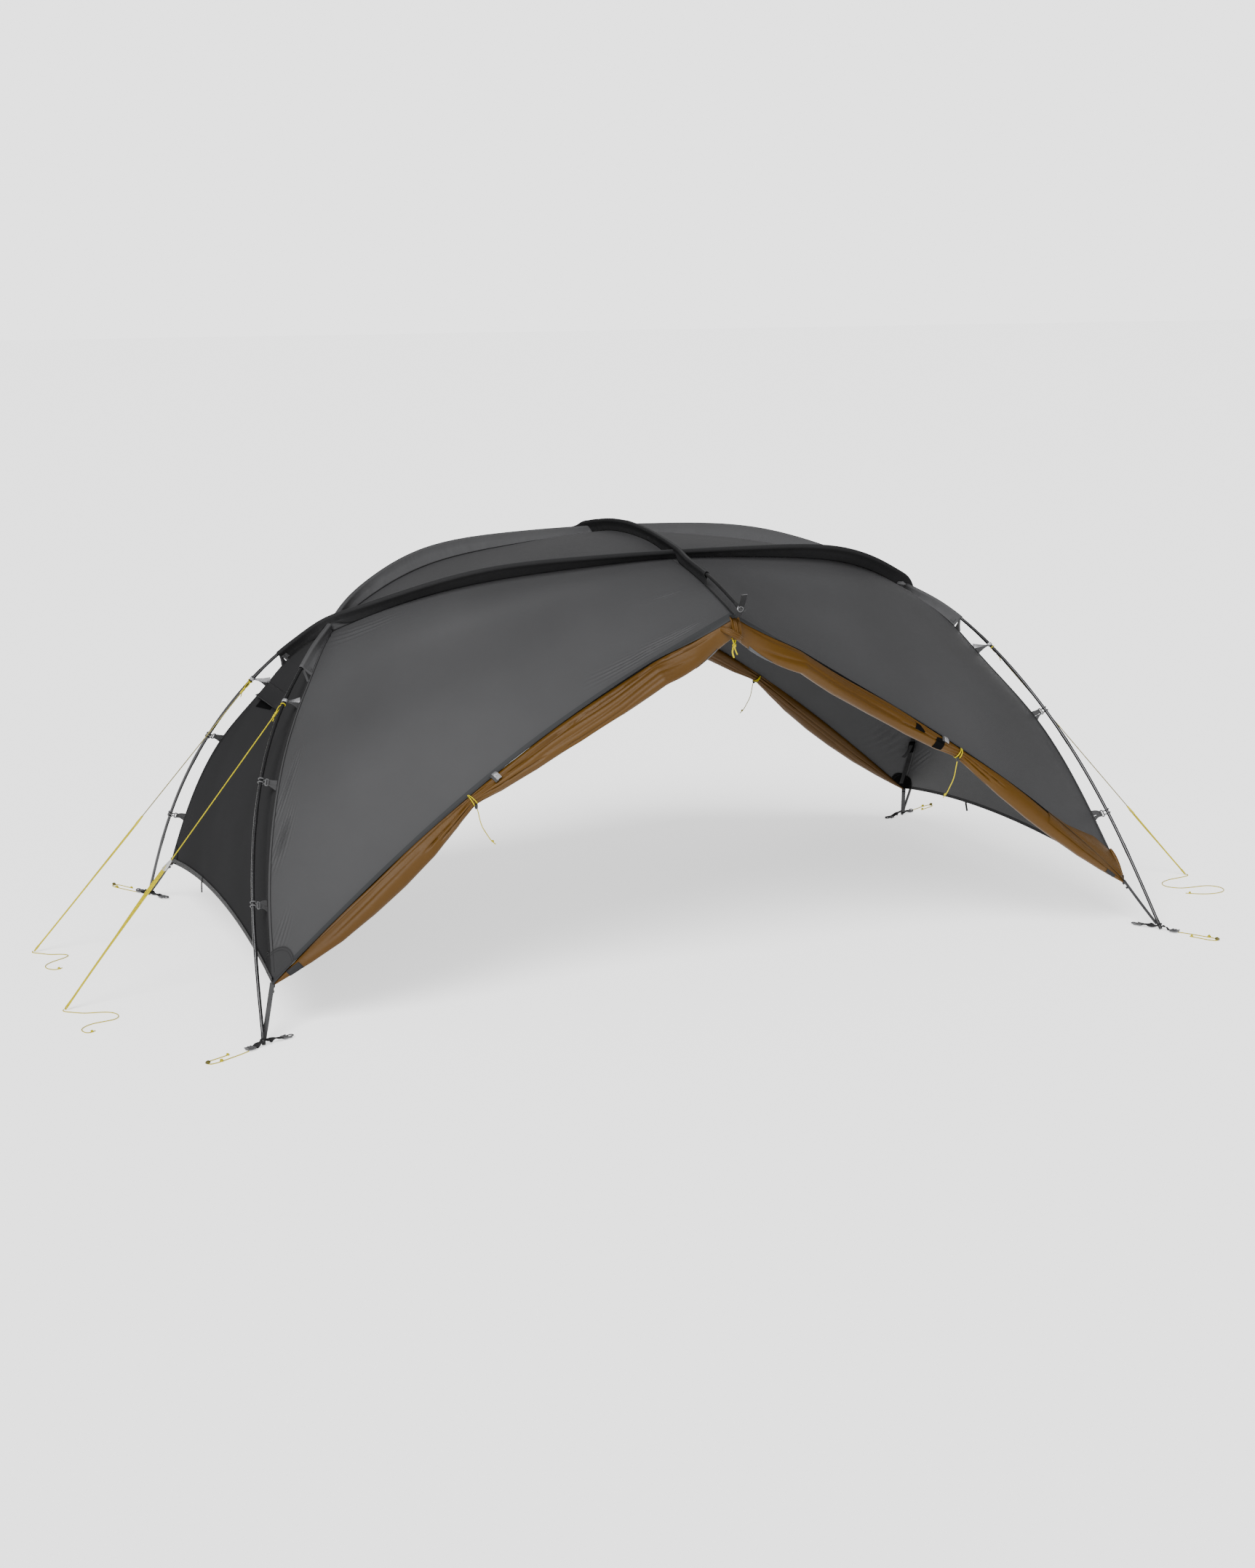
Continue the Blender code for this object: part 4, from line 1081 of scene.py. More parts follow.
def sleeveEnds():
    # Hem, small patch and a webbing corner where each sleeve lets its pole out.
    pole, seam, way, down, across = seamPlace(sleeveSetup["start"])
    deep = np.linalg.norm(seam - pole)
    for label, (end, side) in legs.items():
        parts = Parts(end, side)
        for face in (-1, 1):
            flank, skin = across * face, across * face * 0.0016
            # The sleeve end's hem takes the grey sleeve cloth with its painted light.
            parts.ribbon(pole + skin + way * 0.004 + np.linspace(0.0075, deep, 6)[:, None] * down,
                         flank, 0.0075, 0.0010, "paleSleevePaintedLight")
            spot = pole + down * (deep * 0.55) + skin * 1.2 + way * 0.014
            parts.ribbon([spot - down * 0.0065, spot + down * 0.0065], flank, 0.0110, 0.0012,
                         "greyWebbing")
            strap = evenLine([pole + down * 0.0075 + skin * 1.3 - way * 0.001,
                              pole + down * deep * 0.6 + skin - way * 0.010,
                              seam + skin * 0.6 - way * 0.0165], 10)
            inner = atShares([pole + down * 0.0075 + skin + way * 0.001,
                              seam + skin * 0.6 + way * 0.001], np.linspace(0, 1, 10))
            parts.sheet([strap, inner], "webbing", flank)
            parts.ribbon(strap, flank, 0.0050, 0.0012, "greyWebbing")
        parts.piece("sleeve_end_" + label, "webbing")


sleeveEnds()


# Rolled doors
def rollRows():
    # Ways along, into the opening and inside, half height and thickness at each station.
    run = runLength(lowerEdge) / runLength(lowerEdge)[-1]
    aboveRow = quarterWall[int(np.searchsorted(vShares, 0.90))]
    rows = []
    for at, half, thick in rollSetup["stations"]:
        point, above = mixAt(at, run, lowerEdge), mixAt(at, run, aboveRow)
        along = unit(mixAt(min(at + 0.03, 1.0), run, lowerEdge)
                     - mixAt(max(at - 0.03, 0.0), run, lowerEdge))
        mitre = np.clip((at - 0.85) / 0.12, 0.0, 1.0)
        opening = unit(-squareTo(along, above - point) * (1 - mitre) + np.array((0, 0, -1)) * mitre)
        inside = unit(np.cross(along, opening))
        inside = unit(-inside * np.sign(inside[1]) * (1 - mitre) + np.array((0, -1, 0)) * mitre)
        rows.append([*along, *opening, *inside, half, thick])
    return rows


rollSpots, rollRow = [station[0] for station in rollSetup["stations"]], rollRows()
rollLooks = {
    # Folds seen from outside: share where one starts and ends, angle there, depth, width
    "folds": {
        "left": [(0.455, 0.995, 4.95, 5.72, 0.30, 0.075), (0.455, 0.96, 4.70, 5.30, 0.34, 0.085),
                 (0.455, 0.86, 4.45, 4.95, 0.26, 0.085), (0.56, 0.93, 4.10, 4.55, 0.14, 0.130),
                 (0.62, 0.90, 3.60, 3.75, 0.12, 0.120), (0.46, 0.60, 4.10, 3.90, 0.20, 0.090),
                 (0.035, 0.445, 5.45, 5.15, 0.34, 0.070), (0.06, 0.445, 5.85, 5.60, 0.22, 0.060),
                 (0.33, 0.445, 4.30, 4.55, 0.30, 0.090), (0.36, 0.445, 3.70, 3.95, 0.26, 0.090),
                 (0.10, 0.34, 4.55, 4.70, 0.10, 0.160)],
        "right": [(0.455, 0.995, 5.25, 5.95, 0.30, 0.085), (0.455, 0.97, 4.85, 5.40, 0.30, 0.115),
                  (0.58, 0.97, 4.35, 3.95, 0.18, 0.160),
                  (0.455, 0.60, 4.30, 4.05, 0.22, 0.090),
                  (0.02, 0.445, 5.60, 5.35, 0.30, 0.070), (0.15, 0.445, 5.15, 4.95, 0.20, 0.080),
                  (0.34, 0.445, 4.40, 4.60, 0.28, 0.090), (0.37, 0.445, 3.80, 4.00, 0.24, 0.080),
                  (0.02, 0.20, 4.60, 4.90, 0.12, 0.150)],
    },
    "rings": 210, "around": 96, "ends": [(0.86, 0.0035), (0.60, 0.0062), (0.25, 0.0075)],
    "seeds": {"near_left": 21, "near_right": 22, "far_left": 23, "far_right": 24},
    # Pieces of other cloth: shares along the door edge, angles at both ends, cloth, rows, columns
    "band": ((0.491, 0.511), ((3.0, 4.95), (2.9, 4.6)), "black", 8, 22),
    "mark": ((0.540, 0.562), ((4.30, 4.42), (4.25, 5.10)), "black", 8, 14),
    "liner": ((0.915, 0.965), ((3.10, 3.30), (3.0, 3.85)), "liner", 12, 14),
    "toe": ((0.030, 0.056), ((3.0, 5.0), (3.3, 4.7)), "patch", 8, 20),
}
rollWobble = {label: np.random.default_rng(seed).uniform(0, 2 * math.pi, (24, 3))
              for label, seed in rollLooks["seeds"].items()}
rollLift = {label: {} for label in legs}


def rollAt(at):
    # Place, ways along, into the opening and inside, half height and thickness anywhere.
    row = mixAt(at, rollSpots, rollRow)
    return atShares(lowerEdge, at), unit(row[:3]), unit(row[3:6]), unit(row[6:9]), *row[9:]


def rollBulge(at, drop):
    # How far the roll stands out from under the edge, this far below its top.
    *_, half, thick = rollAt(at)
    return thick * math.sin(math.acos(1 - min(max(drop, 0.0) / half, 1.0)))


def rollMiddle(at):
    point, along, opening, inside, half, thick = rollAt(at)
    return point + opening * (half + rollSetup["gap"]) + inside * rollSetup["shell"] / 2


def rollRing(label, at, turn, grow=0.0):
    # Section of a roll at a share of the door edge, in its own quarter.
    point, along, opening, inside, half, thick = rollAt(at)
    middle = rollMiddle(at)
    tie, wobble = rollSetup["tieAt"], rollWobble[label]
    folds = rollLooks["folds"][label.split("_")[1]]
    size = 1 + 0.05 * np.sin(2 * turn + 9 * at) + 0.03 * np.sin(3 * turn - 23 * at)
    for k, (begin, finish, first, last, depth, width) in enumerate(folds * 2):
        share = (at - begin) / (finish - begin)
        if not 0 < share < 1:
            continue
        angle = first * (1 - share) + last * share
        angle += 0.07 * math.sin(9 * at + wobble[k, 0]) + 0.03 * math.sin(31 * at + wobble[k, 1])
        angle = angle if k < len(folds) else 2 * math.pi - angle + 0.2
        deep = depth * (0.75 + 0.25 * math.sin(14 * at + wobble[k, 2]))
        ends = (0.08, 0.12) if begin > tie else (0.15, 0.06)
        deep *= min(share / ends[0], (1 - share) / ends[1], 1.0) * (1 if k < len(folds) else 0.5)
        off = (turn - angle + math.pi) % (2 * math.pi) - math.pi
        size = size - deep * np.exp(-(off / width) ** 2)
        size = size + 0.30 * deep * np.exp(-((off + 2.4 * width) / (1.6 * width)) ** 2)
    size = size + bell(at - tie, 0.030) * 0.13 * np.sin(9 * turn + 2)
    size = np.minimum(size, 1.08)
    ring = middle - opening * (half * np.cos(turn) * size)[:, None] \
        + inside * (thick * np.sin(turn) * size)[:, None]
    lifts = rollLift[label]
    if len(turn) == rollLooks["around"]:
        # Hung from the hem, whatever the folds take away at the top.
        lifts[round(at, 6)] = ((ring - point) @ opening).min() - 0.0004
    lift = lifts[min(lifts, key=lambda spot: abs(spot - at))]
    out = (ring - middle) / np.linalg.norm(ring - middle, axis=1)[:, None]
    return ring - opening * lift + out * grow


def rollPiece(label, end, side):
    looks, (low, high) = rollLooks, (rollSpots[0], rollSpots[-1])
    turn = np.linspace(0, 2 * math.pi, looks["around"], endpoint=False)
    rings = [rollRing(label, at, turn) for at in np.linspace(low, high, looks["rings"])]
    for at, way in ((low, -1.0), (high, 0.4)):
        # Round the end in, so that no flat cut shows.
        base = rings[-1 if way > 0 else 0]
        heart, along = base.mean(0), rollAt(at)[1] * way
        caps = [heart + (base - heart) * shrink + along * away for shrink, away in looks["ends"]]
        rings = rings + caps if way > 0 else caps[::-1] + rings
    obj = skinPiece("door_roll_" + label + "_cloth", placed(rings, end, side), "door", 70)
    finishPiece(mended(obj), "door_fabric", "door_roll_" + label)


def rollPatch(name, label):
    # Piece of other cloth on the skin of a roll.
    shares, turns, finish, rows, columns = rollLooks[name]
    end, side = legs[label]
    grid = [rollRing(label, at, np.linspace(low, high, columns), 0.0009)
            for at, (low, high) in zip(np.linspace(*shares, rows), np.linspace(*turns, rows))]
    finishPiece(gridPiece("roll_%s_%s" % (name, label), placed(grid, end, side), finish,
                          (0, side, -0.3), 0.0006), "door_fabric")


for label, (end, side) in legs.items():
    rollPiece(label, end, side)
for labels, names in ((("near_right", "far_right"), ("band", "mark")), (legs, ("liner", "toe"))):
    for label in labels:
        for name in names:
            rollPatch(name, label)
print("rolled doors made")


# Corners and vents. Sizes of a wall and an end wall, along the hem and down, in metres
panelSize = {"wall": (1.27, 0.88), "end": (0.62, 0.88)}


def cornerWrap(label, end, side):
    # The right doors' cloth lies up over the corner of the wall, out to the leg seam.
    reach, top = (0.0, 0.052, 0.11, 0.175, 0.23), (0.079, 0.078, 0.050, 0.018, 0.003)
    high, columns = panelSize["wall"][1], []
    for at in np.linspace(reach[-1], 0.0, 56):
        tall = float(np.interp(at, reach, top))
        near = min(at / 0.012 + 0.12, 1.0)
        skin = rollRing(label, max(at, 0.006), np.linspace(4.15, 4.95, 4), 0.0016)
        wall = [onWall(label, at, 1 - tall * share / high, lift * near)
                for share, lift in ((0.05, 0.0105), (0.35, 0.0110), (0.65, 0.0085),
                                    (0.90, 0.0045), (1.0, 0.0014))]
        columns.append(atShares([*skin, *wall], np.linspace(0, 1, 22)))
    parts = Parts(end, side)
    parts.sheet(columns, "door", (0, 1, 0.2))
    thick = 0.0016 + 0.0042 * np.sin(math.pi * np.linspace(0.06, 0.97, 18) ** 0.7)
    parts.tube([onWall(label, 0.0, v, thin + 0.0004)
                for v, thin in zip(np.linspace(1 - top[0] * 1.02 / high, 0.998, 18), thick)],
               thick, "door", 14)
    parts.piece("door_wrap_" + label, "door_fabric")


def cornerPatches(label, end, side):
    # Doubled cloth round the lower corner, outside and inside, with its line of stitches.
    def corner(panel, reach, lift):
        width, high = panelSize[panel]
        spots = [(reach * math.sin(t) / width, 1 - reach * math.cos(t) / high)
                 for t in np.linspace(0, math.pi / 2, 16)]
        return [onWall(label, across, down, lift) if panel == "wall"
                else onEnd(1 - across, down, lift) for across, down in spots]

    parts = Parts(end, side)
    for lift, reach in ((0.0018, 0.066), (-0.0026, 0.050)):
        # On the end wall the outer patch takes the end cloth, with its painted shade.
        for panel, outward, finish in (("wall", (0.1, 1, 0.6), "doubled"),
                                       ("end", (1, 0, 0.3), "end")):
            parts.sheet([corner(panel, r, lift) for r in np.linspace(0.003, reach, 9)],
                        finish if lift > 0 else "black", outward)
            for inward in (0.002, 0.007):
                parts.tube(corner(panel, reach - inward, lift * 1.25), 0.0003, "patch", 5)
    parts.piece("corner_patch_" + label, "canopy_fabric")
    # Strap up the seam inside, with its buckle and loose end.
    parts = Parts(end, side)
    for width, thick, finish, keys in (
            (0.0150, 0.0014, "webbing", [(0.010, v, -0.0040) for v in (0.985, 0.90, 0.80, 0.70)]),
            (0.0210, 0.0050, "black", [(0.011, v, -0.0075) for v in (0.835, 0.81, 0.79)]),
            (0.0120, 0.0012, "webbing", [(0.012, 0.800, -0.0115), (0.018, 0.835, -0.0190),
                                         (0.026, 0.862, -0.0215)])):
        parts.ribbon(evenLine([onWall(label, *key) for key in keys], 14), (0.2, 1, 0.6), width,
                     thick, finish, 0.0004)
    parts.piece("inner_strap_" + label, "webbing")


def endFittings(end, label):
    # Vent hood over its black mesh, and the loop at the middle of the hem.
    sides = np.linspace(-0.25, 0.95, 44)
    fade = np.clip(np.minimum(0.95 - sides, sides + 0.25) / 0.12, 0, 1) ** 0.6
    hood = [[onEnd(s, 0.258 + 0.052 * t, 0.0010 + 0.015 * t ** 1.6 * f)
             for s, f in zip(sides, fade)] for t in np.linspace(0, 1, 9)]
    parts = Parts(end)
    # The hood takes the end cloth, with its painted shade.
    parts.sheet(hood, "end", (1, 0, 0.3))
    parts.sheet([[onEnd(s, v + 0.030 * (s - 0.42), 0.0010) for s in np.linspace(0.12, 0.73, 20)]
                 for v in np.linspace(0.304, 0.334, 4)], "black", (1, 0, 0.3))
    parts.tube(hood[0], 0.0008, "piping")
    parts.tube(hood[-1], 0.0012, "piping")
    parts.piece("vent_" + label, "canopy_fabric")
    hem = onEnd(0.35, 1.0, 0.0025)
    parts = Parts(end)
    parts.ribbon(evenLine([onEnd(0.35, 0.975, 0.0030), hem, hem + (0.001, -0.001, -0.012),
                           hem + (0.002, -0.005, -0.028)], 14), (1, 0, 0.2), 0.0100, 0.0022,
                 "webbing")
    parts.piece("hem_loop_" + label, "webbing")


def crossingTab(label, end, side):
    # Grey loop at the end of the seam, under the sleeve.
    keys = [onWall(label, *key) for key in ((0.050, 0.001, 0.006), (0.060, 0.010, 0.013),
                                            (0.070, 0.016, 0.015), (0.076, 0.010, 0.010),
                                            (0.080, 0.001, 0.006))]
    parts = Parts(end, side)
    parts.ribbon(evenLine(keys, 16), (0.1, 1, 0.9), 0.0110, 0.0014, "greyPlastic")
    parts.piece("crossing_tab_" + label, "webbing")


for label, (end, side) in legs.items():
    cornerPatches(label, end, side)
    if end > 0:
        cornerWrap(label, end, side)
        crossingTab(label, end, side)
for end, label in ((-1, "left"), (1, "right")):
    endFittings(end, label)
print("corners and vents made")


# Seam tapes, piping and hems
def bindingPieces():
    tall = np.linalg.norm(np.diff(quarterWall, axis=0), axis=2).sum(0)
    wide = 1.25      # metres that a wall is taken to be across
    for label, (end, side) in legs.items():
        leg = placed(legSeam, end, side) + unit((end, 0.9 * side, 0.2)) * 0.0004
        finishPiece(tubePiece("seam_leg_" + label, leg, 0.0017, "piping", 8), "canopy_fabric")
        # Hem band: on the wall above the door edge, then hanging over the top of the roll.
        rows = [[onWall(label, u, 1 - up / t, lift) for u, t in zip(uShares, tall)]
                for up, lift in ((0.0140, 0.0002), (0.0137, 0.0010), (0.0090, 0.0010),
                                 (0.0045, 0.0010), (0.0, 0.0012))]
        for drop in (0.0015, 0.0035, 0.0060):
            row = []
            for at, edge in zip(uShares, quarterWall[-1]):
                _, along, opening, inside, *_ = rollAt(at)
                row.append(edge + opening * drop - inside * (rollBulge(at, drop) + 0.0026))
            rows.append(row)
        finishPiece(gridPiece("door_hem_" + label, placed(rows, end, side), "tape",
                              (0, side, 0.5), 0.0007), "canopy_fabric")
        # Band of doubled cloth along the leg seam.
        rows = [[onWall(label, share / wide, v, 0.0010) for v in np.linspace(0.02, 0.99, 90)]
                for share in np.linspace(0.0, 0.0095, 4)]
        finishPiece(gridPiece("seam_band_" + label, placed(rows, end, side), "canopy",
                              (0, side, 0.5), 0.0005), "canopy_fabric")
        edge = [onWall(label, 0.0088 / wide, v, 0.0014) for v in np.linspace(0.02, 0.98, 90)]
        finishPiece(tubePiece("seam_line_" + label, placed(edge, end, side), 0.0007, "piping", 6),
                    "canopy_fabric")
    for end, label in ((-1, "left"), (1, "right")):
        section = ((0.0012, 0.0), (0.0018, 0.007), (0.0012, 0.016), (-0.0014, 0.016),
                   (-0.0020, 0.007), (-0.0012, 0.0))
        rows = [[point + (x, 0, z) for x, z in section] for point in endWall[-1]]
        finishPiece(gridPiece("end_hem_" + label, placed(rows, end, 1), "piping", (end, 0, 0),
                              closed=True), "canopy_fabric")
    ridgeEnd = ridgeSeam[ridgeSeam[:, 1] >= 0.54]
    for side, label in ((-1, "near"), (1, "far")):
        arc = bothHalves(seamHalf[crossAt:]) * (1, -side, 1)
        for name, line, lift, radius in (("ridge", ridgeEnd * (1, side, 1), 0.0016, 0.0020),
                                         ("arc", arc, 0.0010, 0.0016)):
            finishPiece(tubePiece(name + "_piping_" + label, line + (0, 0, lift), radius,
                                  "piping", 8), "canopy_fabric")


bindingPieces()
print("seams bound")


def tiePieces():
    # Two turns of cord round the pinched roll, a cord lock under it and the hanging tail.
    at = rollSetup["tieAt"]
    point, along, opening, inside, half, thick = rollAt(at)
    turn = np.linspace(0.35, 2 * math.pi - 0.35, 40)
    low = point + opening * (2 * half + rollSetup["gap"] + 0.0038) + inside * 0.001
    for label, (end, side) in legs.items():
        parts = Parts(end, side)
        for shift, tilt in ((-0.0024, 0.0022), (0.0024, -0.0018)):
            parts.tube(roundLine(rollMiddle(at) + along * shift,
                                 along * tilt - opening * (half + 0.0030),
                                 inside * (thick + 0.0026), turn), 0.0013, "cord")
        parts.tube([low + (0, 0, rise) for rise in (0.0015, 0.0005, -0.0030, -0.0070, -0.0105,
                                                    -0.0110)],
                   [0.0026, 0.0036, 0.0043, 0.0041, 0.0031, 0.0020], "plastic", 16)
        parts.piece("door_tie_" + label + "_cord", "cord_yellow", "door_tie_" + label)
        start = placed(low, end, side) + (0.0, 0.0, -0.0020)
        line = evenLine([start + (-end * away, side * 0.10 * away, fall)
                         for away, fall in cordSetup["tieFall"]], 50)
        knot = endKnot("tie_cord_" + label + "_knot", line, 0.010, 0.0026)
        cordPiece("tie_cord_" + label, line, cordSetup["radius"], "hanging", knot)


tiePieces()
print("door ties made")


# Straps and hooks from the canopy seams to the poles
clipSetup = {
    "stations": {"clip_top": 3, "clip_middle": 2, "clip_low": 1},
    "ringRadius": 0.0060, "hookRadius": 0.0017, "hookGap": 0.0052,
    "frameNear": 0.0120, "frameFar": 0.0185, "frameHalf": 0.0092, "tabThickness": 0.0012,
}


def reflectiveClip(name, spots, end, side):
    # A folded strap: a ring round the pole, a narrow twist and two blades sewn to the seam.
    pole, seam, way, out, across, seamWay = spots
    r, turn = clipSetup["ringRadius"], np.linspace(0.30, 2 * math.pi - 0.30, 34)
    parts = Parts(end, side)
    parts.ribbon(roundLine(pole - way * 0.0008, out * r + way * 0.0012, across * r, turn),
                 roundLine(0, out, across, turn), 0.0085, 0.0012, "reflective", 0.0004)
    for shift, wide, lift, finish in ((0.0085, 0.019, 0.0014, "reflective"),
                                      (-0.0080, 0.020, -0.0014, "greyWebbing")):
        start = pole + out * r * 0.9 + across * lift * 0.8
        stop = seam + seamWay * shift - out * 0.0004
        line = evenLine([start, start * 0.72 + stop * 0.28 + across * lift * 0.8,
                         start * 0.35 + stop * 0.65 + across * lift * 1.2, stop], 26)
        share = np.linspace(0, 1, len(line))
        twist = (1 - share) * 0.9 * np.sign(lift)
        parts.ribbon(line, roundLine(0, across, way, twist),
                     0.0050 + (wide - 0.0050) * share ** 1.3, 0.0011, finish,
                     0.0016 * np.sign(lift))
    parts.piece(name + "_strap", "reflective_strap", name)


def hookClip(name, spots, end, side):
    # A plastic hook on the pole, its bar, and a webbing tab folded round it.
    pole, seam, way, out, across, seamWay = spots
    setup, parts = clipSetup, Parts(end, side)
    near, far, half = setup["frameNear"], setup["frameFar"], setup["frameHalf"]
    r = tent["poleRadius"] + setup["hookRadius"] + 0.0002
    for shift in (-setup["hookGap"], setup["hookGap"]):
        loop = roundLine(pole + way * shift, out * r, across * r,
                         np.linspace(0.15, 2 * math.pi - 0.85, 26))
        parts.tube([pole + way * shift * 0.9 + out * (near + 0.0008), *loop],
                   setup["hookRadius"], "greyPlastic", 10)
    corners = roundedOutline([(near, -half), (near, half), (far, half), (far, -half)], 0.003)
    parts.tube(inFrame(pole, (out, way), corners + corners[:2]), 0.0018, "greyPlastic", 10)
    halfway, sewn = pole * 0.4 + seam * 0.6 + out * 0.002, seam - out * 0.0004
    upper = [pole + out * 0.0165 + way * 0.0022, pole + out * 0.0215 + way * 0.0030,
             halfway + seamWay * 0.0036, sewn + seamWay * 0.0052]
    lower = [pole + out * 0.0205 - way * 0.0072, halfway - way * 0.0075,
             sewn - seamWay * 0.0112]
    for keys, start, stop, lift in ((upper, 0.0125, 0.0165, 0.0008),
                                    (lower, 0.0030, 0.0135, -0.0008)):
        parts.ribbon(evenLine(keys, 14) + across * lift, across, np.linspace(start, stop, 14),
                     setup["tabThickness"], "greyWebbing")
    turn = np.linspace(-2.2, 2.2, 12)
    parts.ribbon(roundLine(pole + out * (far + 0.0005) + way * 0.0005, -out * 0.0026,
                           across * 0.0026, turn), roundLine(0, -out, across, turn), 0.0120,
                 0.0012, "greyWebbing")
    parts.piece(name + "_hook", "reflective_strap", name)


for label, (end, side) in legs.items():
    for kind, station in clipSetup["stations"].items():
        i = station * spanSteps
        spots = (*seamPlace(i), unit(seamHalf[i + 1] - seamHalf[i - 1]))
        make = reflectiveClip if kind == "clip_top" else hookClip
        make(kind + "_" + label, spots, end, side)
print("clips made")


# Foot tabs on the ground: webbing, ladder lock, hook and the strap up to the corner
footSetup = {"height": 0.0130, "strapWidth": 0.0125, "webWidth": 0.0155, "strap": 0.0016}


def footPiece(label, end, side):
    setup, parts = footSetup, Parts()
    foot, (out, across, up) = footFrame(label, 0.0)
    high, wide = setup["height"], setup["webWidth"]

    def web(keys, turn, width, crown):
        parts.ribbon(evenLine(inFrame(foot, (out, up), keys), len(turn)),
                     roundLine(0, up, across, turn), width, 0.0016, "webbing", crown)

    # Outward webbing, half turned, to the ladder lock.
    web([(0.005, high), (0.014, high - 0.003), (0.026, 0.0055), (0.037, 0.0050)],
        0.9 * bell(np.linspace(-1, 1, 22), 0.45),
        wide * (1 - 0.25 * bell(np.linspace(-0.4, 1.6, 22), 0.5)), 0.0008)
    # Inward webbing with half a twist.
    turn = math.pi * np.clip((np.linspace(0, 1, 40) - 0.12) / 0.55, 0, 1)
    web([(-0.005, high), (-0.022, 0.0095), (-0.042, 0.0085), (-0.060, 0.0060)], turn,
        wide * (1 - 0.18 * np.sin(turn)), 0.0)
    # Ring of the webbing round the pole tip.
    lean = unit(placed(poleHalf[4] - poleHalf[0], end, side))
    middle = placed(poleHalf[0], end, side)
    middle = middle + lean * (high - middle[2]) / lean[2]
    one = unit(np.cross(lean, across))
    parts.ribbon(roundLine(middle, one * 0.0066, np.cross(lean, one) * 0.0066,
                           np.linspace(0, 2 * math.pi, 33)), lean, 0.0046, 0.0030, "webbing",
                 0.0003)
    # Ladder lock: a frame with two bars and a raised lip.
    seat = foot + out * 0.0415 + up * 0.0050
    corners = [(-0.0095, 0.0115), (0.0075, 0.0115), (0.0120, 0.0115 * 0.55)]
    outline = roundedOutline([(x, -y) for x, y in corners] + corners[::-1], 0.003, 3)
    parts.plate(outline, [(-0.0045, 0.0045, 0.0017), (-0.0045, -0.0045, 0.0017),
                          (0.0035, 0.0, 0.0021)], 0.0034, "greyPlastic", (seat, out, across))
    lip = [(0.011, -0.0080, 0.0020), (0.0135, 0.0, 0.0042), (0.011, 0.0080, 0.0020)]
    parts.tube(evenLine(inFrame(seat, (out, across, up), lip), 12), 0.0019, "greyPlastic")
    for away in (-0.0085, -0.0005):
        bar = [(away, reach, 0.0018) for reach in (-0.0105, 0.0105)]
        parts.tube(inFrame(seat, (out, across, up), bar), 0.0017, "greyPlastic")
    # Hook: a forked plate and an open loop at its end.
    seat = foot - out * 0.066 + up * 0.0052
    outline = roundedOutline([(-0.0080, -0.0100), (-0.0080, 0.0100), (0.0040, 0.0105),
                              (0.0140, 0.0125), (0.0075, 0.0062), (0.0085, 0.0),
                              (0.0075, -0.0062), (0.0140, -0.0125), (0.0040, -0.0105)],
                             0.0018, 2)
    parts.plate(outline, [(-0.0035, 0.0, 0.0016)], 0.0042, "greyPlastic", (seat, -out, across))
    loop = roundedOutline([(0.0040, -0.0050), (0.0250, -0.0058), (0.0250, 0.0058),
                           (0.0040, 0.0050)], 0.0055, 5)
    parts.tube(inFrame(seat, (-out, across), loop + loop[:2]), 0.0017, "greyPlastic")
    # Strap from the ring to the canopy's corner, sewn in two places.
    corner = placed(seamHalf[0], end, side)
    near = middle + unit((corner - middle) * (1, 1, 0)) * 0.0075 + up * 0.0008
    top = np.cross(corner - near, np.cross((0, 0, 1), corner - near))
    parts.ribbon(evenLine([near, near * 0.6 + corner * 0.4, corner + (0, 0, 0.003)], 14), top,
                 setup["strapWidth"], setup["strap"], "greyWebbing")
    for share in (0.0, 0.1):
        spot = corner * (1 - share) + near * share - up * 0.004
        parts.ribbon([spot, spot + unit(near - corner) * 0.006], top,
                     setup["strapWidth"] + 0.0012, 0.0030, "greyWebbing")
    parts.piece("foot_tab_" + label + "_web", "webbing", "foot_tab_" + label)


for label, (end, side) in legs.items():
    footPiece(label, end, side)
print("feet made")


# Guylines: loop and knot at the pole, one line to the adjuster, three from there down
guySetup = {"radius": 0.0015, "leaves": 3 * spanSteps, "under": 0.0125,
            "adjusterAt": {"near_left": 0.53, "far_left": 0.51, "near_right": 0.705,
                           "far_right": 0.62},
            "plates": {"near_left": "palePlastic", "far_left": "yellowPlastic",
                       "near_right": "yellowPlastic", "far_right": "palePlastic"},
            "lines": {"near_left": "cord", "far_left": "paleCord", "near_right": "paleCord",
                      "far_right": "cord"}}


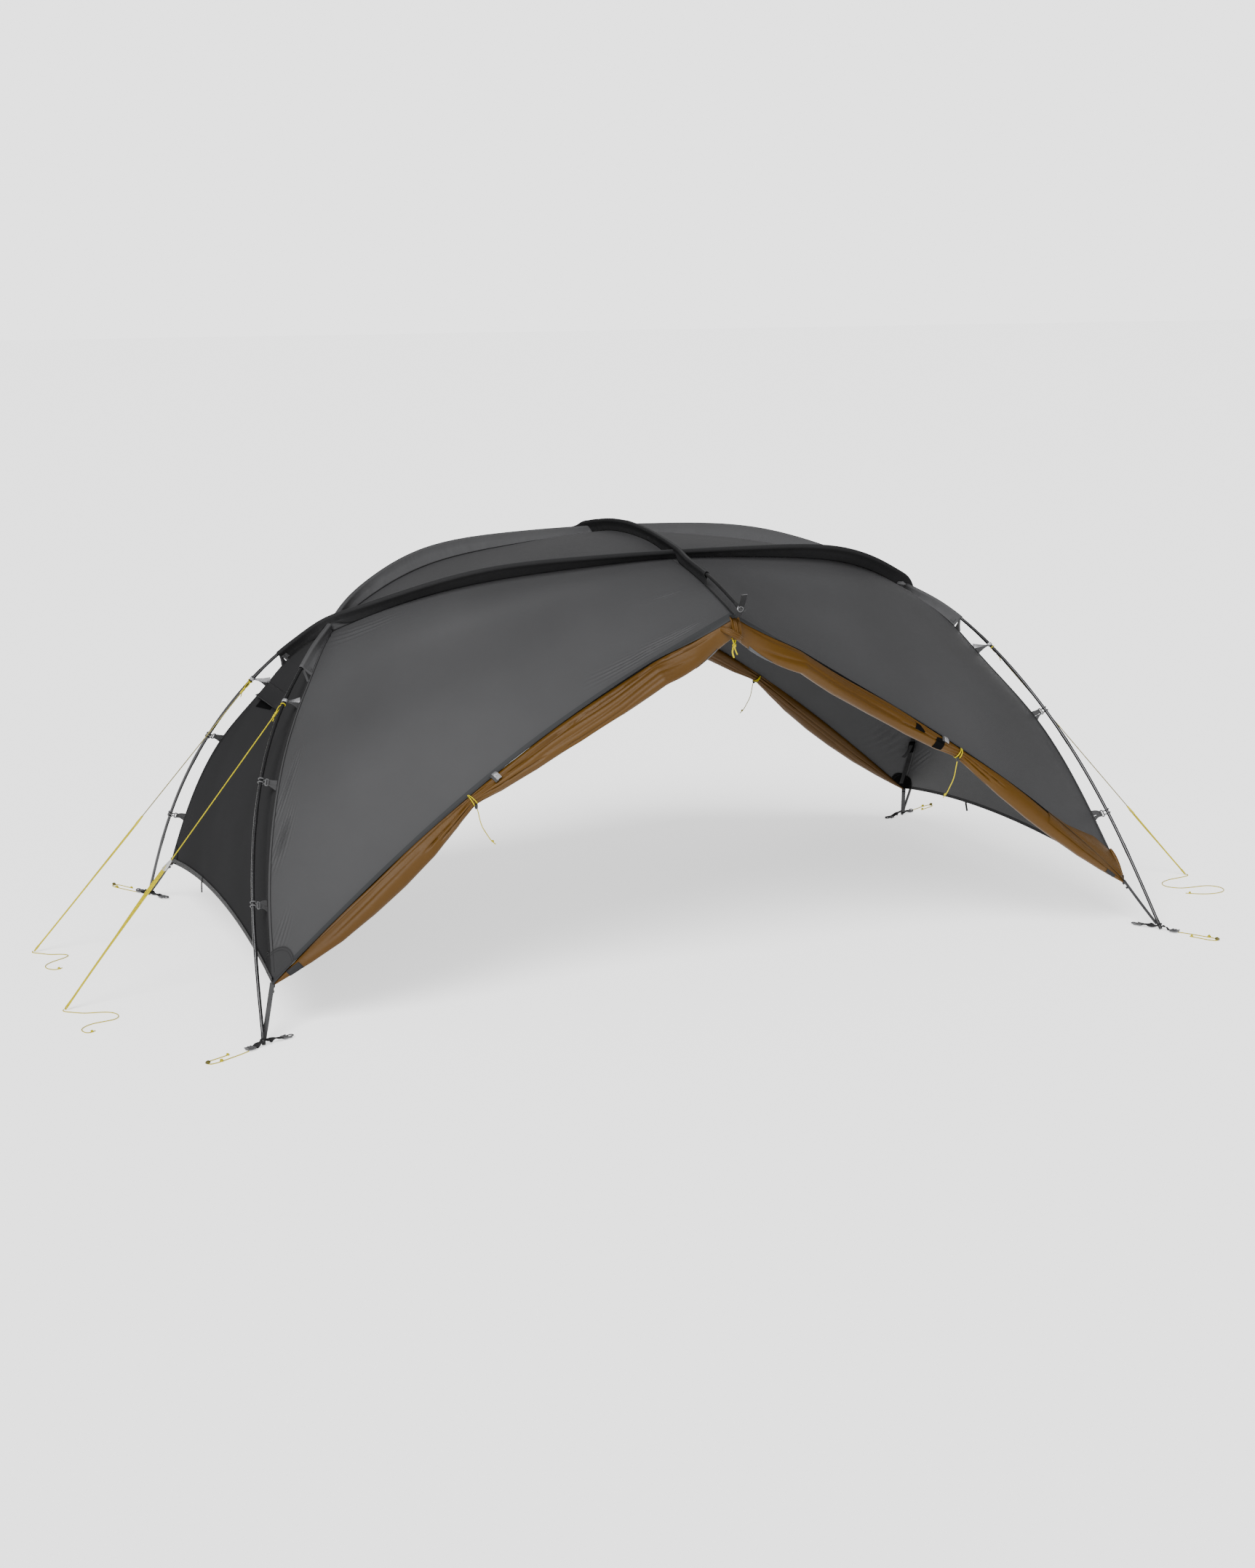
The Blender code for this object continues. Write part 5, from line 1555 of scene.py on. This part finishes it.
def guylinePiece(label, end, side):
    setup, parts = guySetup, Parts(end, side)
    r, i, plate = setup["radius"], setup["leaves"], setup["plates"][label]
    way = unit(poleHalf[i + 1] - poleHalf[i - 1])
    seat = poleHalf[i] - way * setup["under"]
    anchor = np.array((*cordSetup["anchor"], cordSetup["lie"]))
    out = squareTo(way, anchor - seat)
    start = seat + out * (tent["poleRadius"] + r + 0.0002)
    run = unit(anchor - start)
    lock = start + (anchor - start) * setup["adjusterAt"][label]
    across = unit(np.cross(run, (0, 0, 1)))

    def strand(keys, radius, count, finish="cord"):
        parts.tube(evenLine(keys, count), radius, finish, 9)

    def flat(middle, *spots):
        return list(inFrame(middle, (run, across), spots))

    # Loop round the pole under the clip, knotted on itself.
    flank, ring, knot = np.cross(way, out), tent["poleRadius"] + r * 0.9, start + run * 0.030
    loop = roundLine(seat, ring * out, ring * flank, np.linspace(0.35, 2 * math.pi - 0.35, 22))
    strand([knot - run * 0.004, *loop, knot - run * 0.004 + flank * 0.001], r * 0.9, 70)
    for k, shift in enumerate((-0.004, 0.003)):
        parts.knot(knot + run * shift, run, 0.0026, r, "cord", k * 1.1)
    strand([knot - run * 0.010, knot, knot + run * 0.010], r * 1.8, 12)
    strand(inFrame(knot, (run, np.cross(across, run)),
                   [(0.004, 0.002), (0.011, -0.0035), (0.018, -0.0060)]), r * 0.9, 12)
    strand([knot, knot * 0.5 + lock * 0.5, lock - run * 0.009], r, 24, setup["lines"][label])
    # Three lines from the adjuster to the ground loop.
    strand(flat(lock, (0.012, -0.004), (0.030, -0.004))
           + flat(anchor, (-0.012, -0.0045), (-0.004, -0.0038), (0.0, 0.0), (-0.004, 0.0038),
                  (-0.012, 0.0045))
           + flat(lock, (0.030, 0.0135), (0.013, 0.0125)), r * 1.15, 150)
    strand(flat(lock, (0.004, 0.0045), (0.022, 0.0048))
           + flat(anchor, (-0.030, 0.0010), (-0.012, 0.0)), r * 1.6, 40)
    outline = roundedOutline([(-0.0130, -0.0036), (-0.0130, 0.0036), (0.0150, 0.0165),
                              (0.0180, 0.0120), (0.0180, -0.0040), (0.0150, -0.0085)], 0.004, 3)
    parts.plate(outline, [(-0.0080, 0.0, 0.0016), (0.0115, 0.0115, 0.0016),
                          (0.0115, 0.0040, 0.0016), (0.0115, -0.0035, 0.0016)], 0.0030, plate,
                (lock, run, across), 0.0008)
    parts.tube(inFrame(lock, (run, across), outline + outline[:2]), 0.0019, plate)
    # Where it meets the ground: a small loop end.
    parts.tube([anchor - run * 0.020, anchor - run * 0.008], 0.0030, "cord", 10)
    parts.piece("guyline_" + label + "_line", "cord_yellow", "guyline_" + label)


for label, (end, side) in legs.items():
    guylinePiece(label, end, side)
print("guylines made")


# Apex of each doorway: webbing to the pole tip with its ring, gathered cloth, pull cord
apexSetup = {
    "strap": [(0.7290, 0.9502), (0.7450, 0.9480), (0.7620, 0.9505), (0.7708, 0.9595),
              (0.7745, 0.9716), (0.7795, 0.9890), (0.7820, 1.0080)],
    "width": 0.0155, "thickness": 0.0016, "cord": 0.0022, "lean": 0.20,
}


def apexPieces(side, label):
    setup, parts = apexSetup, Parts()
    one = np.array((1.0, 0.0, 0.0))
    line = evenLine([(setup["lean"] * (z - 0.97), y, z) for y, z in setup["strap"]], 40)
    line = placed(line, 1, side)
    parts.ribbon(line, np.cross(one, ways(line)), setup["width"], setup["thickness"], "webbing")
    tip = ridgePole[-1] * (1, side, 1)
    tipWay = unit(ridgePole[-1] - ridgePole[-2]) * (1, side, 1)
    for away, radius, thick, finish in ((0.0024, 0.0066, 0.0015, "greyPlastic"),
                                        (-0.0020, 0.0066, 0.0015, "ferrule"),
                                        (-0.0062, 0.0060, 0.0016, "plastic")):
        parts.tube(roundLine(tip + tipWay * away, one * radius, np.cross(tipWay, one) * radius,
                             np.linspace(0, 2 * math.pi, 37)), thick, finish, 10)
    parts.tube([tip + tipWay * away for away in (-0.012, -0.002, 0.0040, 0.0055)],
               [0.0050, 0.0050, 0.0042, 0.0026], "plastic", 16)
    hook = [(0.0070, 0.004), (0.0115, 0.003), (0.0125, -0.003), (0.0085, -0.0065)]
    parts.tube(evenLine(inFrame(tip + tipWay * 0.003, (one, (0, 0, 1)), hook), 14), 0.0015,
               "plastic")
    parts.tube([line[-1] + one * reach * setup["width"] for reach in (-0.5, 0.5)], 0.0010,
               "greyPlastic")
    parts.piece("apex_tab_" + label + "_strap", "webbing", "apex_tab_" + label)
    # Gathered cloth: a fold down the middle, and a pleated band over the left roll.
    parts, base = Parts(1, side), np.array((0.0, 0.728, 0.947))
    rows = []
    for fall in np.linspace(0.0, 0.056, 18):
        out = 0.006 + 0.019 * math.sin(math.pi * min(fall / 0.078, 1.0)) ** 0.65
        rows.append([base + (a + 0.06 * fall, out * (1 - 0.35 * (abs(a) / 0.013) ** 5)
                             + 0.0026 * math.cos(a * 560 + 0.5), -fall)
                     for a in np.linspace(-0.013, 0.013, 26)])
    parts.sheet(rows, "door", (0, 1, 0))
    line = evenLine(base + [(-0.038, -0.006, -0.026), (-0.027, 0.0115, -0.031),
                            (-0.010, 0.0250, -0.040), (0.007, 0.0250, -0.050),
                            (0.018, 0.0120, -0.058), (0.022, 0, -0.061)], 30)
    parts.ribbon(line, (0, 1, 0.1), 0.009 + 0.008 * np.sin(np.linspace(0.1, 3, 30)) ** 0.6,
                 0.0016, "door", 0.0012)
    for shift in (-0.0042, 0.0, 0.0040):
        parts.tube(line[3:-3] + (shift * 0.6, 0.0013, shift),
                   0.0012 + 0.0006 * np.sin(np.linspace(0, 3.1, 24)), "door")
    parts.piece("apex_gather_" + label, "door_fabric")
    # Pull cord: the main strand, two more beside it and a knot.
    (y, z), r, name = cordSetup["apexTop"], setup["cord"], "apex_cord_" + label
    top = np.array((0.0, side * y, z))
    line = evenLine([top + (away, 0.0, fall) for away, fall in cordSetup["apexFall"]], 40)
    extras = []
    for count, route in ((34, [(-0.004, 0.003, 0.006), (-0.005, 0.004, -0.012),
                               (0.000, 0.0046, -0.030), (0.004, 0.004, -0.046),
                               (0.010, 0.002, -0.058)]),
                         (30, [(0.006, 0.001, 0.004), (0.007, 0.002, -0.012),
                               (0.003, 0.0035, -0.028), (-0.003, 0.003, -0.042)])):
        extras.append(tubePiece("%s_strand%d" % (name, len(extras)),
                                evenLine(top + placed(route, 1, side), count), r * 0.8, "cord",
                                10))
    extras.append(knotPiece(name + "_knot", line[20] + (0.001, side * 0.002, 0), (0, 0, 1),
                            0.0042, r * 0.8, "cord"))
    for extra in extras:
        finishPiece(extra, "cord_yellow")
    cordPiece(name, line, r, "hanging", *extras)


for side, label in ((-1, "near"), (1, "far")):
    apexPieces(side, label)
print("apexes made")


# Silver tabs on the door hems
tabSetup = {"share": {-1: 0.508, 1: 0.489}, "shift": 0.0085, "wide": (0.0140, 0.0110)}


def doorTab(label, end, side):
    # Folded reflective tab sewn to the hem and lying over the top of the roll.
    share, run = tabSetup["share"][end], runLength(lowerEdge) / runLength(lowerEdge)[-1]
    row = quarterWall[int(np.searchsorted(vShares, 0.94))]
    point, above = mixAt(share, run, lowerEdge), mixAt(share, run, row)
    along = unit(mixAt(share + 0.02, run, lowerEdge) - point)
    rise = squareTo(along, above - point)
    outward = np.cross(along, rise)
    outward = outward * np.sign(outward[1])
    parts = Parts(end, side)
    for shift, wide, finish, lift, reach in (
            (0.0, tabSetup["wide"][0], "reflective", 0.0046, 0.026),
            (end * tabSetup["shift"], tabSetup["wide"][1], "greyWebbing", 0.0034, 0.028)):
        keys = [point + rise * 0.004 + outward * (lift * 0.6)]
        keys += [point - rise * drop + outward * (rollBulge(share, drop) + lift)
                 for drop in (0.003, 0.008, 0.014, 0.020, reach)]
        parts.ribbon(evenLine(keys, 22) + along * shift, outward, wide, 0.0014, finish, 0.0006)
    parts.piece("door_tab_" + label, "reflective_strap")


for label, (end, side) in legs.items():
    doorTab(label, end, side)
print("door tabs made")


# Light
lightSetup = {
    "ambient": 0.34, "seen": 2.62, "floor": (0.90, 0.90, 0.90), "floorSize": 60.0, "glow": 1.12,
    "suns": {"key": ((-0.50, -0.50, 0.71), 4.7, 34.0), "front": ((0.05, -0.93, 0.36), 1.5, 60.0)},
}


def makeStudio():
    setup = lightSetup
    world = bpy.data.worlds.new("studio")
    bpy.context.scene.world = world
    world.use_nodes = True
    tree = world.node_tree
    shader = tree.nodes["Background"]
    shader.inputs["Color"].default_value = (1, 1, 1, 1)
    path = tree.nodes.new("ShaderNodeLightPath")
    seen = addNode(tree, "ShaderNodeMapRange", {
        "Value": path.outputs["Is Camera Ray"], "To Min": setup["ambient"],
        "To Max": setup["seen"]})
    tree.links.new(seen.outputs["Result"], shader.inputs["Strength"])
    for name, (toward, strength, angle) in setup["suns"].items():
        data = bpy.data.lights.new(name, "SUN")
        data.energy = strength
        data.angle = math.radians(angle)
        lamp = newObject(name, data)
        lamp.rotation_mode = "QUATERNION"
        lamp.rotation_quaternion = (-Vector(toward)).to_track_quat("-Z", "Y")
        lamp.location = Vector(toward) * 6
    mesh = bpy.data.meshes.new("floor")
    corners = [(-1, -1, 0), (1, -1, 0), (1, 1, 0), (-1, 1, 0)]
    mesh.from_pydata((np.array(corners) * setup["floorSize"]).tolist(), [], [(0, 1, 2, 3)])
    mesh.materials.append(plainMaterial(
        "pale_floor", Roughness=0.9, Base_Color=(*setup["floor"], 1),
        Emission_Color=(1, 1, 1, 1), Emission_Strength=setup["glow"])[0])
    floor = newObject("floor", mesh)
    floor.location.z = -0.0005


makeStudio()
print("studio made")
